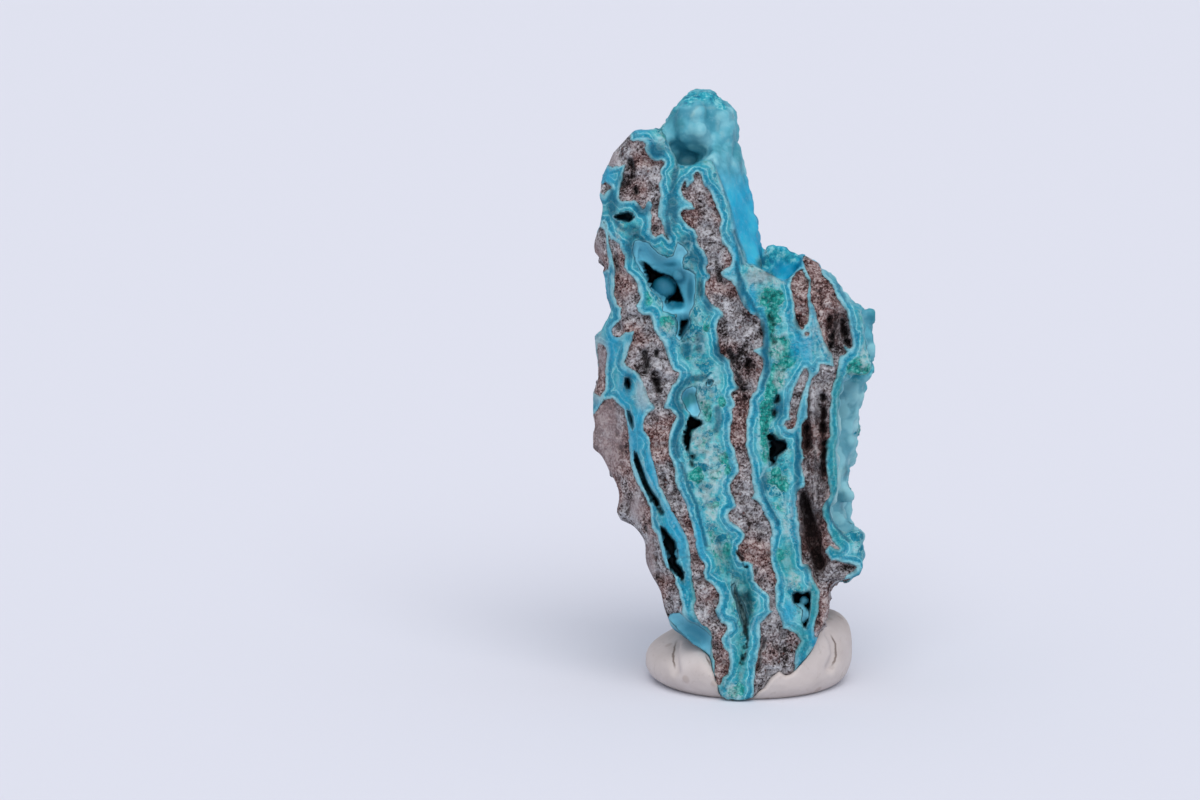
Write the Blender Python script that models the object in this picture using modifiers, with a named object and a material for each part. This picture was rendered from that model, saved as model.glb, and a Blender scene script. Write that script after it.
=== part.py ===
"""Hemimorphite: a broken piece of banded vein, fused as one stone, standing in a disc of putty.

The stone is laid out in millimetres on the plane of its broken face: x across, y up from the foot and z
towards the viewer, so that depth into the stone is -z. stand_up() then leans that plane back, puts it
over the putty and turns millimetres into metres. The origin is the middle of the putty's underside.
"""

import math
import random

import bmesh
import bpy
import numpy as np
from mathutils import Matrix, Vector, noise

MM = 0.001  # metres

STONE_HEIGHT = 50.3  # mm, from the foot's tip to the top of the knob
TOP_PY, FOOT_PY = 88, 702.6  # photo rows of those two points
CENTRE_PX = 752.5  # photo column over the middle of the putty
PX_PER_MM = (FOOT_PY - TOP_PY) / STONE_HEIGHT

LEAN = math.radians(9)  # how far the broken face leans back
FACE_Y = -8.7  # mm, where the face's plane meets the table
SIGHT_DISTANCE = 272  # mm, from the face to the point that its outlines are read from
SIGHT_X, SIGHT_Y = -12.5, 24.8  # mm, the place on the face straight below that point

EDGE_BACK, MIDDLE_BACK = 8.2, 15.6  # mm, the stone's depth at its rim and in its middle
BACK_ROUNDING = 8.5  # mm, how far in from the rim the back still curves
ROCK_RECESS = 0.6  # mm, how far the brown rock lies below the blue layers
FOOT_RISE = 0.42  # how fast the buried foot rises towards the back
LEDGE_DEPTH = 1.5  # mm
LEDGE_SIZE = (2.4, 11, 7)  # mm, the upright ledges that the layers leave on the back
SWELLS = ((8.0, 0.7), (3.0, 0.45))  # mm, how wide and how high the sides' and back's roughness is
SMOOTH_SKIN = 0.8  # the share of that roughness that the knob and its skin grew without
PLATE_THICKNESS = 6.0  # mm, of the plates before they are given their depths
FUSE_VOXEL = 0.5  # mm
STONE_TRIANGLES = 8400

PUTTY_RADIUS, PUTTY_FOOT_RADIUS, PUTTY_HEIGHT = 8.8, 8.2, 5.0  # mm
PUTTY_SLOPE = 0.12  # the putty stands higher on the right
GAP, GAP_SLACK = 0.3, 0.15  # mm, kept between the stone and the putty
POCKET_TOP, POCKET_VOXEL, POCKET_TRIANGLES = 9.0, 0.4, 900

# Outlines are corners in photo pixels, clockwise from the top left.
FACE = (
    (630, 134), (640, 129), (652, 129), (660, 128), (665, 136), (670, 150), (676, 167), (690, 165),
    (704, 160), (711, 161), (718, 178), (727, 200), (735, 232), (744, 255), (752, 265), (770, 273),
    (785, 282), (796, 271), (803, 254), (811, 260), (820, 268), (834, 280), (846, 302), (862, 310),
    (865, 335), (872, 358), (872, 368), (846, 374), (838, 396), (838, 419), (840, 432), (837, 460),
    (838, 480), (831, 508), (838, 529), (848, 532), (858, 527), (864, 534), (861, 543), (864, 562),
    (862, 573), (852, 578), (831, 580), (828, 605), (820, 631), (813, 648), (796, 670), (787, 677),
    (779, 672), (765, 688), (753, 698), (736, 702), (725, 700), (717, 688), (712, 670), (711, 656),
    (700, 648), (681, 633), (668, 618), (661, 590), (645, 560), (645, 545), (630, 522), (619, 492),
    (604, 460), (595, 430), (591, 402), (598, 378), (598, 355), (597, 340), (604, 322), (613, 312),
    (607, 290), (607, 270), (595, 250), (596, 231), (602, 213), (600, 190), (604, 169), (613, 152),
)  # fmt: skip
KNOB = (
    (664, 140), (662, 128), (668, 116), (677, 106), (686, 95), (700, 88), (713, 91), (726, 100),
    (735, 113), (739, 130), (741, 158), (750, 193), (757, 225), (761, 262), (758, 300), (740, 330),
    (690, 330), (660, 280), (660, 200),
)  # fmt: skip
SHOULDER = (
    (761, 266), (764, 258), (770, 256), (771, 246), (779, 241), (786, 244), (802, 252), (814, 264),
    (812, 300), (790, 320), (755, 300),
)  # fmt: skip
FLANK = (
    (846, 291), (860, 302), (867, 301), (874, 306), (878, 314), (877, 328), (882, 340), (880, 353),
    (873, 364), (871, 377), (873, 388), (864, 400), (864, 418), (862, 440), (861, 458), (853, 470),
    (855, 492), (851, 510), (860, 528), (861, 545), (850, 566), (820, 560), (815, 450), (825, 380),
    (835, 310),
)  # fmt: skip

# The flank's rim from top to bottom, for its rounded growths.
FLANK_RIM = (
    (738, 110), (741, 158), (757, 225), (761, 262), (802, 258), (846, 296), (876, 318), (880, 345),
    (872, 380), (864, 410), (862, 445), (853, 475), (851, 510), (862, 535), (860, 565), (829, 585),
    (820, 631),
)  # fmt: skip

# Where the face bends back towards the left flank, and how it does so, from the top down.
LEFT_BEND = ((640, 120), (632, 170), (622, 240), (628, 320), (634, 400), (650, 470), (668, 545), (690, 640))
LEFT_BEND_SLOPE = 1.1
RIGHT_TOP_BEND_PY, RIGHT_TOP_BEND_PX, RIGHT_TOP_SLOPE = 300, 800, 1.0

# Brown rock between the blue layers.
ROCK = (
    (
        (630, 134), (613, 152), (610, 166), (625, 164), (619, 198), (640, 205), (651, 202), (653, 235),
        (669, 240), (658, 212), (664, 162), (645, 148), (644, 140),
    ),
    (
        (603, 224), (615, 269), (614, 295), (621, 315), (611, 329), (634, 331), (624, 362), (645, 388),
        (655, 408), (644, 422), (652, 458), (663, 492), (689, 543), (694, 611), (711, 632), (716, 683),
        (724, 678), (729, 655), (716, 615), (719, 596), (697, 548), (675, 473), (668, 441), (676, 416),
        (665, 404), (678, 378), (650, 316), (636, 305), (640, 292), (625, 262),
    ),
    (
        (697, 172), (682, 188), (696, 209), (682, 212), (710, 276), (706, 294), (723, 314), (719, 345),
        (739, 386), (733, 398), (730, 436), (739, 471), (730, 490), (730, 520), (746, 535), (737, 552),
        (752, 566), (770, 600), (760, 623), (754, 694), (793, 671), (800, 640), (780, 618), (772, 531),
        (751, 496), (746, 430), (762, 372), (763, 337), (745, 308), (722, 272), (721, 219),
    ),
    (
        (802, 253), (811, 290), (833, 360), (819, 370), (802, 440), (797, 500), (802, 564), (820, 590),
        (815, 636), (829, 600), (831, 579), (856, 567), (824, 552), (836, 545), (822, 512), (830, 494),
        (825, 450), (831, 395), (852, 346), (840, 304), (819, 265),
    ),
    (
        (604, 400), (620, 405), (630, 460), (650, 510), (675, 582), (684, 622), (667, 615), (645, 551),
        (619, 490), (595, 425),
    ),
)  # fmt: skip

# The open hollows: how deep each is, in mm, and its mouth.
HOLLOWS = (
    (4.0, ((632, 256), (640, 240), (660, 234), (680, 241), (695, 260), (697, 300), (686, 340), (677, 340),
           (670, 318), (652, 305), (640, 280))),
    (2.0, ((617, 216), (632, 213), (629, 222))),
    (1.8, ((634, 450), (640, 456), (652, 488), (648, 492))),
    (2.4, ((658, 526), (668, 528), (678, 548), (685, 562), (683, 580), (674, 572))),
    (2.2, ((689, 388), (712, 380), (712, 400), (701, 424), (691, 432), (690, 452), (683, 440), (682, 402))),
    (2.4, ((767, 430), (789, 443), (780, 452), (777, 465), (769, 464))),
    (2.2, ((791, 592), (809, 590), (808, 606), (800, 606))),
    (1.4, ((712, 540), (726, 548), (750, 600), (749, 640), (738, 660), (730, 600), (722, 565))),
    (2.6, ((667, 617), (680, 612), (700, 622), (711, 632), (711, 656), (700, 649), (681, 634))),
)  # fmt: skip

# Rounded lumps that the layers grew into: photo column and row, depth and radius in mm.
LUMPS = (
    (693, 124, 5.2, 2.3), (694, 118, 8.4, 2.2), (712, 120, 10.6, 2.4), (709, 100, 5.6, 1.1), (726, 119, 6.3, 1.2), (724, 143, 6.0, 1.3),
    (672, 131, 5.6, 1.1), (641, 136, 2.0, 0.8), (655, 134, 2.4, 0.8),
    (608, 195, 2.4, 0.8),
    (602, 246, 3.2, 0.8), (778, 251, 6.0, 1.0), (796, 262, 6.2, 1.0), (866, 314, 6.6, 1.0),
    (869, 341, 6.8, 1.1), (863, 364, 6.6, 1.0), (857, 387, 7.0, 1.2), (852, 412, 7.2, 1.1),
    (850, 440, 7.2, 1.2), (846, 470, 7.0, 1.0), (843, 496, 7.2, 1.1), (850, 524, 6.6, 1.0),
    (853, 549, 4.2, 1.1), (792, 579, 1.2, 1.0), (796, 617, 1.4, 0.9), (602, 440, 4.6, 1.0),
    (628, 510, 4.2, 1.0), (663, 285, 4.0, 1.2), (752, 296, 1.0, 1.0), (700, 440, 1.6, 0.9),
)  # fmt: skip
BACK_LUMPS, BACK_LUMP_RADII, SEED = 46, (1.1, 2.3), 7
FLANK_LUMPS = 60  # rounded growths over the right flank, behind those of LUMPS
FLANK_LUMP_RADII, FLANK_LUMP_DEPTHS = (0.8, 1.7), (6.0, 13.0)  # mm


def on_face(pixels):
    """The photo's pixels as millimetres across and up on the broken face."""
    pixels = np.array(pixels, float)
    return np.column_stack([pixels[:, 0] - CENTRE_PX, FOOT_PY - pixels[:, 1]]) / PX_PER_MM


def inside_by(places, pixels):
    """How far each place lies inside an outline, in mm; below zero outside it."""
    start = on_face(pixels)
    run = np.roll(start, -1, axis=0) - start
    offset = places[:, None, :] - start
    along = np.clip((offset * run).sum(axis=2) / (run**2).sum(axis=1), 0, 1)
    nearest = np.linalg.norm(offset - along[..., None] * run, axis=2).min(axis=1)
    above, next_above = offset[..., 1] < 0, offset[..., 1] - run[:, 1] < 0
    rise = np.where(run[:, 1] == 0, 1, run[:, 1])
    crossed = (above != next_above) & (offset[..., 0] < run[:, 0] * offset[..., 1] / rise)
    return np.where(crossed.sum(axis=1) % 2 == 1, nearest, -nearest)


def ease(value):
    """0 below 0, 1 above 1 and a smooth step between."""
    value = np.clip(value, 0, 1)
    return value * value * (3 - 2 * value)


def pillow(inside, radius):
    """0 on a rim, 1 at this radius inside it, along a quarter circle."""
    return np.sqrt(1 - (1 - np.clip(inside / radius, 0, 1)) ** 2)


def wander(places, size, seed):
    """Smooth noise of about -1 to 1 whose lumps are this many mm across."""
    shift = Vector((seed * 17.3, seed * 5.1, seed * 9.7))
    return np.array([noise.fractal(Vector(place) / size + shift, 0.8, 2.0, 3) for place in places])


def face_front(x, y):
    """Depth of the broken face: flat, but bent back at the left flank and at the top right."""
    bend = on_face(LEFT_BEND)
    bend_x = np.interp(-y, -bend[:, 1], bend[:, 0])
    left = LEFT_BEND_SLOPE * np.clip(bend_x - x, 0, None)
    corner = on_face([(RIGHT_TOP_BEND_PX, RIGHT_TOP_BEND_PY)])[0]
    top = RIGHT_TOP_SLOPE * np.clip(y - corner[1], 0, None) * ease((x - corner[0]) / 2 + 1)
    return left + top


def stone_back(inside):
    """Depth of the stone's back, from how far inside the rim a place is."""
    return EDGE_BACK + (MIDDLE_BACK - EDGE_BACK) * pillow(inside, BACK_ROUNDING)


def replaced(obj, mesh):
    """Gives the object this mesh and drops its old one and its modifiers."""
    old = obj.data
    obj.modifiers.clear()
    obj.data = mesh
    bpy.data.meshes.remove(old)
    return obj


def applied(obj):
    """The object with its modifiers made part of its mesh."""
    graph = bpy.context.evaluated_depsgraph_get()
    return replaced(obj, bpy.data.meshes.new_from_object(obj.evaluated_get(graph)))


def remeshed(obj, voxel):
    modifier = obj.modifiers.new("Fuse", "REMESH")
    modifier.mode = "VOXEL"
    modifier.voxel_size = voxel
    return applied(obj)


def points_of(obj):
    flat = np.empty(len(obj.data.vertices) * 3, np.float32)
    obj.data.vertices.foreach_get("co", flat)
    return flat.reshape(-1, 3).astype(float)


def normals_of(obj):
    flat = np.empty(len(obj.data.vertices) * 3, np.float32)
    obj.data.vertices.foreach_get("normal", flat)
    return flat.reshape(-1, 3)


def move_points(obj, points):
    obj.data.vertices.foreach_set("co", points.astype(np.float32).ravel())
    obj.data.update()


def plate(name, pixels):
    """A closed plate 1 mm thick with this outline, its front at z = 0, as a fine even mesh."""
    curve = bpy.data.curves.new(name, "CURVE")
    curve.dimensions = "2D"
    curve.fill_mode = "BOTH"
    curve.extrude = PLATE_THICKNESS / 2
    spline = curve.splines.new("POLY")
    spline.points.add(len(pixels) - 1)
    for point, (x, y) in zip(spline.points, on_face(pixels)):
        point.co = (x, y, 0, 1)
    spline.use_cyclic_u = True
    outline = bpy.data.objects.new(name, curve)
    bpy.context.scene.collection.objects.link(outline)
    graph = bpy.context.evaluated_depsgraph_get()
    mesh = bpy.data.meshes.new_from_object(outline.evaluated_get(graph))
    bpy.data.objects.remove(outline)
    bpy.data.curves.remove(curve)
    with_welded_caps = bmesh.new()
    with_welded_caps.from_mesh(mesh)
    bmesh.ops.remove_doubles(with_welded_caps, verts=with_welded_caps.verts, dist=1e-4)
    bmesh.ops.recalc_face_normals(with_welded_caps, faces=with_welded_caps.faces)
    with_welded_caps.to_mesh(mesh)
    with_welded_caps.free()
    obj = bpy.data.objects.new(name, mesh)
    bpy.context.scene.collection.objects.link(obj)
    return remeshed(obj, FUSE_VOXEL)


def between(obj, front_of, back_of):
    """Stretches a plate to lie between two depths, each a function of x, y."""
    points = points_of(obj)
    share = 0.5 - points[:, 2] / PLATE_THICKNESS
    front = front_of(points[:, 0], points[:, 1])
    back = back_of(points[:, 0], points[:, 1])
    points[:, 2] = -(front + np.clip(share, 0, 1) * (back - front))
    move_points(obj, points)
    return obj


def face_block():
    def front(x, y):
        rim = 0.5 * (1 - pillow(inside_by(np.column_stack([x, y]), FACE), 0.6))
        return face_front(x, y) + rim

    def back(x, y):
        return stone_back(inside_by(np.column_stack([x, y]), FACE))

    return between(plate("face", FACE), front, back)


def knob_block():
    """The knob behind the face's top edge, and the smooth skin that runs from that edge to the right."""

    def front(x, y):
        places = np.column_stack([x, y])
        domed = 6.6 - 3.2 * pillow(inside_by(places, KNOB), 2.8)
        past_face = np.clip(-inside_by(places, FACE), 0, None)
        skin = 0.4 + 1.9 * past_face
        return np.where(x > on_face([(708, 0)])[0, 0], np.minimum(domed, skin), domed)

    def back(x, y):
        return 9.0 + 4.0 * pillow(inside_by(np.column_stack([x, y]), KNOB), 4.0)

    return between(plate("knob", KNOB), front, back)


def side_block(name, pixels, nearest, rim):
    """A rounded mass behind the face, from its rim's depth to its nearest one."""

    def front(x, y):
        return rim - (rim - nearest) * pillow(inside_by(np.column_stack([x, y]), pixels), 1.6)

    def back(x, y):
        return rim + 1 + 4.5 * pillow(inside_by(np.column_stack([x, y]), pixels), 3.0)

    return between(plate(name, pixels), front, back)


def lump(mesh, centre, radius):
    squash = Matrix.Diagonal((1, 1.1, 0.9, 1))
    bmesh.ops.create_icosphere(
        mesh, subdivisions=3, radius=radius, matrix=Matrix.Translation(centre) @ squash
    )


def flank_lumps(mesh):
    """Rounded growths half sunk along the right flank, kept inside the outline."""
    pick = random.Random(SEED)
    rim = on_face(FLANK_RIM)
    for _ in range(FLANK_LUMPS):
        y = pick.uniform(rim[-1, 1], rim[0, 1])
        rim_x = np.interp(-y, -rim[:, 1], rim[:, 0])
        radius = pick.uniform(*FLANK_LUMP_RADII)
        depth = pick.uniform(*FLANK_LUMP_DEPTHS)
        x = rim_x - 1.05 * radius - 0.02 * (depth - FLANK_LUMP_DEPTHS[0]) ** 2
        lump(mesh, Vector((x, y, -depth)), radius)


def back_lumps(mesh):
    """Rounded growths scattered over the back, half sunk in it."""
    pick = random.Random(SEED + 1)
    low, high = on_face([(600, 620)])[0], on_face([(850, 150)])[0]
    made = 0
    while made < BACK_LUMPS:
        x, y = pick.uniform(low[0], high[0]), pick.uniform(low[1], high[1])
        inside = inside_by(np.array([[x, y]]), FACE)[0]
        if inside < 1.4:
            continue
        radius = pick.uniform(*BACK_LUMP_RADII)
        depth = stone_back(np.array([inside]))[0] - 0.55 * radius
        lump(mesh, Vector((x, y, -depth)), radius)
        made += 1


def fused(blocks):
    """All blocks and lumps as one even skin."""
    together = bmesh.new()
    for block in blocks:
        together.from_mesh(block.data)
    for px, py, depth, radius in LUMPS:
        x, y = on_face([(px, py)])[0]
        lump(together, Vector((x, y, -depth)), radius)
    flank_lumps(together)
    back_lumps(together)
    stone = blocks[0]
    together.to_mesh(stone.data)
    together.free()
    for block in blocks[1:]:
        bpy.data.objects.remove(block)
    return remeshed(stone, FUSE_VOXEL)


def press_relief(stone):
    """Sinks the rock and opens the hollows, along the depth."""
    points = points_of(stone)
    places = points[:, :2]
    behind = -points[:, 2] - face_front(points[:, 0], points[:, 1])
    on_front = ease((2.2 - behind) / 1.2)
    rock = np.max([ease(inside_by(places, outline) / 0.5 + 0.5) for outline in ROCK], axis=0)
    sunk = ROCK_RECESS * rock
    for deep, mouth in HOLLOWS:
        sunk = np.maximum(sunk, deep * ease(inside_by(places, mouth) / 0.9 + 0.25))
    points[:, 2] -= sunk * on_front
    move_points(stone, points)
    return remeshed(stone, FUSE_VOXEL)


def roughen(stone):
    """Breaks up the sides and the back but not the broken face's rim, which the outlines follow."""
    points = points_of(stone)
    behind = -points[:, 2] - face_front(points[:, 0], points[:, 1])
    broken = 1 - SMOOTH_SKIN * ease(inside_by(points[:, :2], KNOB) + 1)
    swell = sum(high * (wander(points, wide, seed) - 0.2) for seed, (wide, high) in enumerate(SWELLS))
    swell *= broken * ease((behind - 1.2) / 2)
    ledges = LEDGE_DEPTH * np.abs(wander(points / LEDGE_SIZE, 1.0, 2)) * broken * ease((behind - 5) / 3)
    move_points(stone, points + (swell - ledges)[:, None] * normals_of(stone))
    return remeshed(stone, FUSE_VOXEL)


def cut_foot(stone):
    """Lets the foot that the putty hides rise towards the back."""
    mesh = bmesh.new()
    mesh.from_mesh(stone.data)
    everything = mesh.verts[:] + mesh.edges[:] + mesh.faces[:]
    upwards = Vector((0, 1, FOOT_RISE)).normalized()
    cut = bmesh.ops.bisect_plane(
        mesh, geom=everything, plane_co=(0, 0.1, -0.4), plane_no=upwards, clear_inner=True
    )
    rim = [edge for edge in cut["geom_cut"] if isinstance(edge, bmesh.types.BMEdge)]
    bmesh.ops.holes_fill(mesh, edges=rim)
    bmesh.ops.triangulate(mesh, faces=[face for face in mesh.faces if len(face.verts) > 4])
    mesh.to_mesh(stone.data)
    mesh.free()
    return remeshed(stone, FUSE_VOXEL)


def keep_largest_body(obj):
    """Drops the crumbs that remeshing leaves beside or inside the body."""
    mesh = bmesh.new()
    mesh.from_mesh(obj.data)
    left = set(mesh.verts)
    bodies = []
    while left:
        body, edge_of_body = set(), [left.pop()]
        while edge_of_body:
            vert = edge_of_body.pop()
            body.add(vert)
            near = {edge.other_vert(vert) for edge in vert.link_edges} & left
            left -= near
            edge_of_body.extend(near)
        bodies.append(body)
    bodies.sort(key=len)
    crumbs = [vert for body in bodies[:-1] for vert in body]
    bmesh.ops.delete(mesh, geom=crumbs, context="VERTS")
    mesh.to_mesh(obj.data)
    mesh.free()
    return obj


def thinned(obj, triangles):
    mesh = obj.data
    mesh.calc_loop_triangles()
    modifier = obj.modifiers.new("Fewer faces", "DECIMATE")
    modifier.ratio = triangles / len(mesh.loop_triangles)
    modifier.use_collapse_triangulate = True
    return applied(obj)


def stand_up(obj):
    """Leans the face's plane back, widens what is behind it along the sight lines, and goes to metres."""
    x, y, z = points_of(obj).T
    widened = 1 - z / SIGHT_DISTANCE
    across = SIGHT_X + (x - SIGHT_X) * widened
    up = SIGHT_Y + (y - SIGHT_Y) * widened
    standing = np.column_stack([
        across,
        FACE_Y - z * math.cos(LEAN) + up * math.sin(LEAN),
        z * math.sin(LEAN) + up * math.cos(LEAN),
    ])
    move_points(obj, standing * MM)
    return obj


def stone():
    blocks = [
        face_block(),
        knob_block(),
        side_block("shoulder", SHOULDER, 5.0, 7.0),
        side_block("flank", FLANK, 4.6, 8.0),
    ]
    body = cut_foot(roughen(press_relief(fused(blocks))))
    body = thinned(keep_largest_body(body), STONE_TRIANGLES)
    body.name = body.data.name = "hemimorphite_stone"
    return stand_up(body)


def putty_profile():
    """Points of the turned outline, from the middle of the top down its outer side to the underside."""
    bulge_z, foot_z = 1.9, 0.0
    top = [(PUTTY_RADIUS * 0.72 * t / 4, PUTTY_HEIGHT) for t in range(1, 5)]
    shoulder = [
        (
            PUTTY_RADIUS * (0.72 + 0.28 * math.sin(a)),
            bulge_z + (PUTTY_HEIGHT - bulge_z) * math.cos(a),
        )
        for a in (math.radians(15 * step) for step in range(1, 7))
    ]
    skirt = [
        (PUTTY_FOOT_RADIUS + (PUTTY_RADIUS - PUTTY_FOOT_RADIUS) * math.cos(a), bulge_z * (1 - math.sin(a)))
        for a in (math.radians(30 * step) for step in range(1, 4))
    ]
    return [(0, PUTTY_HEIGHT)] + top + shoulder + skirt + [(PUTTY_FOOT_RADIUS / 2, foot_z), (0, foot_z)]


def putty():
    """A disc of putty turned about Z, with its top tilted and its side dented by a thumb."""
    mesh = bpy.data.meshes.new("putty_base")
    profile = putty_profile()
    mesh.from_pydata([(r, 0, z) for r, z in profile], [(i, i + 1) for i in range(len(profile) - 1)], [])
    obj = bpy.data.objects.new("putty_base", mesh)
    bpy.context.scene.collection.objects.link(obj)
    turn = obj.modifiers.new("Turn", "SCREW")
    turn.steps = turn.render_steps = 48
    turn.use_merge_vertices = True
    turn.merge_threshold = 0.0001
    applied(obj)
    points = points_of(obj)
    x, y, z = points.T
    raised = ease(z / PUTTY_HEIGHT)
    angle = np.arctan2(y, x)
    wavy = 1 + raised * (0.025 * np.sin(3 * angle + 0.6) + 0.015 * np.sin(5 * angle))
    points = np.column_stack([x * wavy, y * wavy, z + raised * (PUTTY_SLOPE * x - 0.02 * y)])
    move_points(obj, points * MM)
    return obj


def pocket_for(stone_obj):
    """A cutter that clears the stone's foot by the gap on every side."""
    cutter = bpy.data.objects.new("foot_pocket", stone_obj.data.copy())
    bpy.context.scene.collection.objects.link(cutter)
    points = points_of(cutter) / MM
    move_points(cutter, points + (GAP + GAP_SLACK) * normals_of(cutter))
    mesh = bmesh.new()
    mesh.from_mesh(cutter.data)
    everything = mesh.verts[:] + mesh.edges[:] + mesh.faces[:]
    cut = bmesh.ops.bisect_plane(
        mesh, geom=everything, plane_co=(0, 0, POCKET_TOP), plane_no=(0, 0, 1), clear_outer=True
    )
    rim = [edge for edge in cut["geom_cut"] if isinstance(edge, bmesh.types.BMEdge)]
    bmesh.ops.holes_fill(mesh, edges=rim)
    bmesh.ops.triangulate(mesh, faces=[face for face in mesh.faces if len(face.verts) > 4])
    mesh.to_mesh(cutter.data)
    mesh.free()
    remeshed(cutter, POCKET_VOXEL)
    thinned(keep_largest_body(cutter), POCKET_TRIANGLES)
    move_points(cutter, points_of(cutter) * MM)
    return cutter


def material(name, colour, roughness):
    made = bpy.data.materials.new(name)
    made.use_nodes = True
    shader = made.node_tree.nodes["Principled BSDF"]
    shader.inputs["Base Color"].default_value = (*colour, 1)
    shader.inputs["Roughness"].default_value = roughness
    shader.inputs["Metallic"].default_value = 0
    return made


def placed(obj, collection):
    for old in obj.users_collection:
        old.objects.unlink(obj)
    collection.objects.link(obj)


def main():
    for obj in list(bpy.data.objects):
        bpy.data.objects.remove(obj)
    parts = bpy.data.collections.new("hemimorphite")
    cutters = bpy.data.collections.new("cutters")
    for collection in (parts, cutters):
        bpy.context.scene.collection.children.link(collection)

    stone_obj = stone()
    stone_obj.data.materials.append(material("banded_stone", (0.08, 0.33, 0.42), 0.45))
    placed(stone_obj, parts)

    putty_obj = putty()
    putty_obj.data.materials.append(material("putty", (0.62, 0.56, 0.51), 0.75))
    placed(putty_obj, parts)

    cutter = pocket_for(stone_obj)
    cutter.hide_render = True
    cutter.display_type = "WIRE"
    placed(cutter, cutters)
    pocket = putty_obj.modifiers.new("Foot pocket", "BOOLEAN")
    pocket.operation = "DIFFERENCE"
    pocket.object = cutter


main()
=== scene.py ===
# %% [markdown]
# # A banded stone standing in putty
#
# The real object is a broken piece of vein, about 50 mm tall. Brown granular rock and banded turquoise
# layers stand side by side in it like the pages of a thick book, and we look at the edges of the pages.
# The stone is pushed into a small disc of cream putty so that it stands up.
#
# The lesson follows the way such a stone reads to the eye. First come the outline and the big masses,
# then the hollows, then a broken surface, and last the colours, which all hang on one measure: how far
# a point is from the nearest rock.

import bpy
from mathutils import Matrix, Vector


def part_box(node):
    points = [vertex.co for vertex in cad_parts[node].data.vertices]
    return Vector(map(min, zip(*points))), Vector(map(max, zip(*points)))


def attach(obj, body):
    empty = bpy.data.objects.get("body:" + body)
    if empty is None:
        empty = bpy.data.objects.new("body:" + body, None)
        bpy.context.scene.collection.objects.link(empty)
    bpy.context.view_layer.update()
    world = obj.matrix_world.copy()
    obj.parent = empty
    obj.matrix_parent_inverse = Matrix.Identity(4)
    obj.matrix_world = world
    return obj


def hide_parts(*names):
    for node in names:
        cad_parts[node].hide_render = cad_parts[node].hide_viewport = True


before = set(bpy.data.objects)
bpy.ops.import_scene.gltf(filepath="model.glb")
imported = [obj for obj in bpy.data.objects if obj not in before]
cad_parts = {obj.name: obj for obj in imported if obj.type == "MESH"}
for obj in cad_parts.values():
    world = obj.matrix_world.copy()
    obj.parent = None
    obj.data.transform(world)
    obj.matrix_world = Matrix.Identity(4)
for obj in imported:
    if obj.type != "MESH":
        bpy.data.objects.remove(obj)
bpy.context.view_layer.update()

# %% Blender's own modules
import math
import random

import bpy
import numpy as np
from mathutils import Matrix, Vector, noise

# %% [markdown]
# ## The place the stone is seen from
#
# Every outline below was read from a picture, so we first say where that picture was taken from.
# A flat sheet through the broken face serves as drawing paper: x runs across, y up and z towards the
# viewer, all in millimetres. The sheet leans back by nine degrees, and the camera looks straight at it.

# %% Sizes of the sheet, and the camera
MM = 0.001
STONE_HEIGHT = 50.3  # mm
TOP_PY, FOOT_PY = 88, 702.6  # picture rows of the knob's top and the foot's tip
CENTRE_PX = 752.5  # picture column over the middle of the putty
PX_PER_MM = (FOOT_PY - TOP_PY) / STONE_HEIGHT
PICTURE_WIDTH = 1200

LEAN = math.radians(9)
FACE_Y = -8.7  # mm, where the sheet meets the table
SIGHT_DISTANCE = 272  # mm, from the camera to the sheet
SIGHT_X, SIGHT_Y = -12.5, 24.8  # mm, the place on the sheet that the camera looks at


def to_world(places):
    """Points on or behind the sheet as points over the table, both in mm."""
    x, y, z = np.asarray(places, float).T
    widened = 1 - z / SIGHT_DISTANCE
    across = SIGHT_X + (x - SIGHT_X) * widened
    up = SIGHT_Y + (y - SIGHT_Y) * widened
    return np.column_stack([
        across,
        FACE_Y - z * math.cos(LEAN) + up * math.sin(LEAN),
        z * math.sin(LEAN) + up * math.cos(LEAN),
    ])


def to_sheet(points):
    """The reverse of to_world."""
    across, back, high = np.asarray(points, float).T
    back = back - FACE_Y
    z = high * math.sin(LEAN) - back * math.cos(LEAN)
    up = high * math.cos(LEAN) + back * math.sin(LEAN)
    widened = 1 - z / SIGHT_DISTANCE
    x, y = SIGHT_X + (across - SIGHT_X) / widened, SIGHT_Y + (up - SIGHT_Y) / widened
    return np.column_stack([x, y, z])


bpy.ops.object.camera_add(rotation=(math.pi / 2 - LEAN, 0, 0))
camera = bpy.context.object
camera.location = Vector(to_world([(SIGHT_X, SIGHT_Y, SIGHT_DISTANCE - 0.001)])[0]) * MM
camera.data.sensor_width = 36
camera.data.lens = camera.data.sensor_width * SIGHT_DISTANCE * PX_PER_MM / PICTURE_WIDTH
camera.data.clip_start = 0.01
bpy.context.scene.camera = camera
print("camera at", [round(v / MM) for v in camera.location], "mm, lens", round(camera.data.lens, 1))

# %% [markdown]
# ## Floor and light
#
# The stone was lit in a white tent. A pale sky gives most of the light, from all sides, and a sun as wide
# as a big softbox, high up and a little right of the middle, gives the lumps their shape. A sun lights the
# whole floor alike, where a lamp nearby would leave a bright pool on it.

# %% Floor, sky and sun
def paint(red, green, blue):
    """A colour as a paint program names it, 0 to 255, as the light that Blender reckons with."""
    def light(value):
        value /= 255
        return value / 12.92 if value <= 0.04045 else ((value + 0.055) / 1.055) ** 2.4
    return (light(red), light(green), light(blue), 1)


bpy.context.scene.view_settings.view_transform = "Standard"

sky = bpy.data.worlds.new("white tent")
bpy.context.scene.world = sky
sky.use_nodes = True
tent_light = sky.node_tree.nodes["Background"]
tent_light.inputs["Color"].default_value = paint(240, 242, 252)
tent_light.inputs["Strength"].default_value = 0.69

bpy.ops.mesh.primitive_plane_add(size=12)
floor = bpy.context.object
floor.name = "floor"

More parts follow.
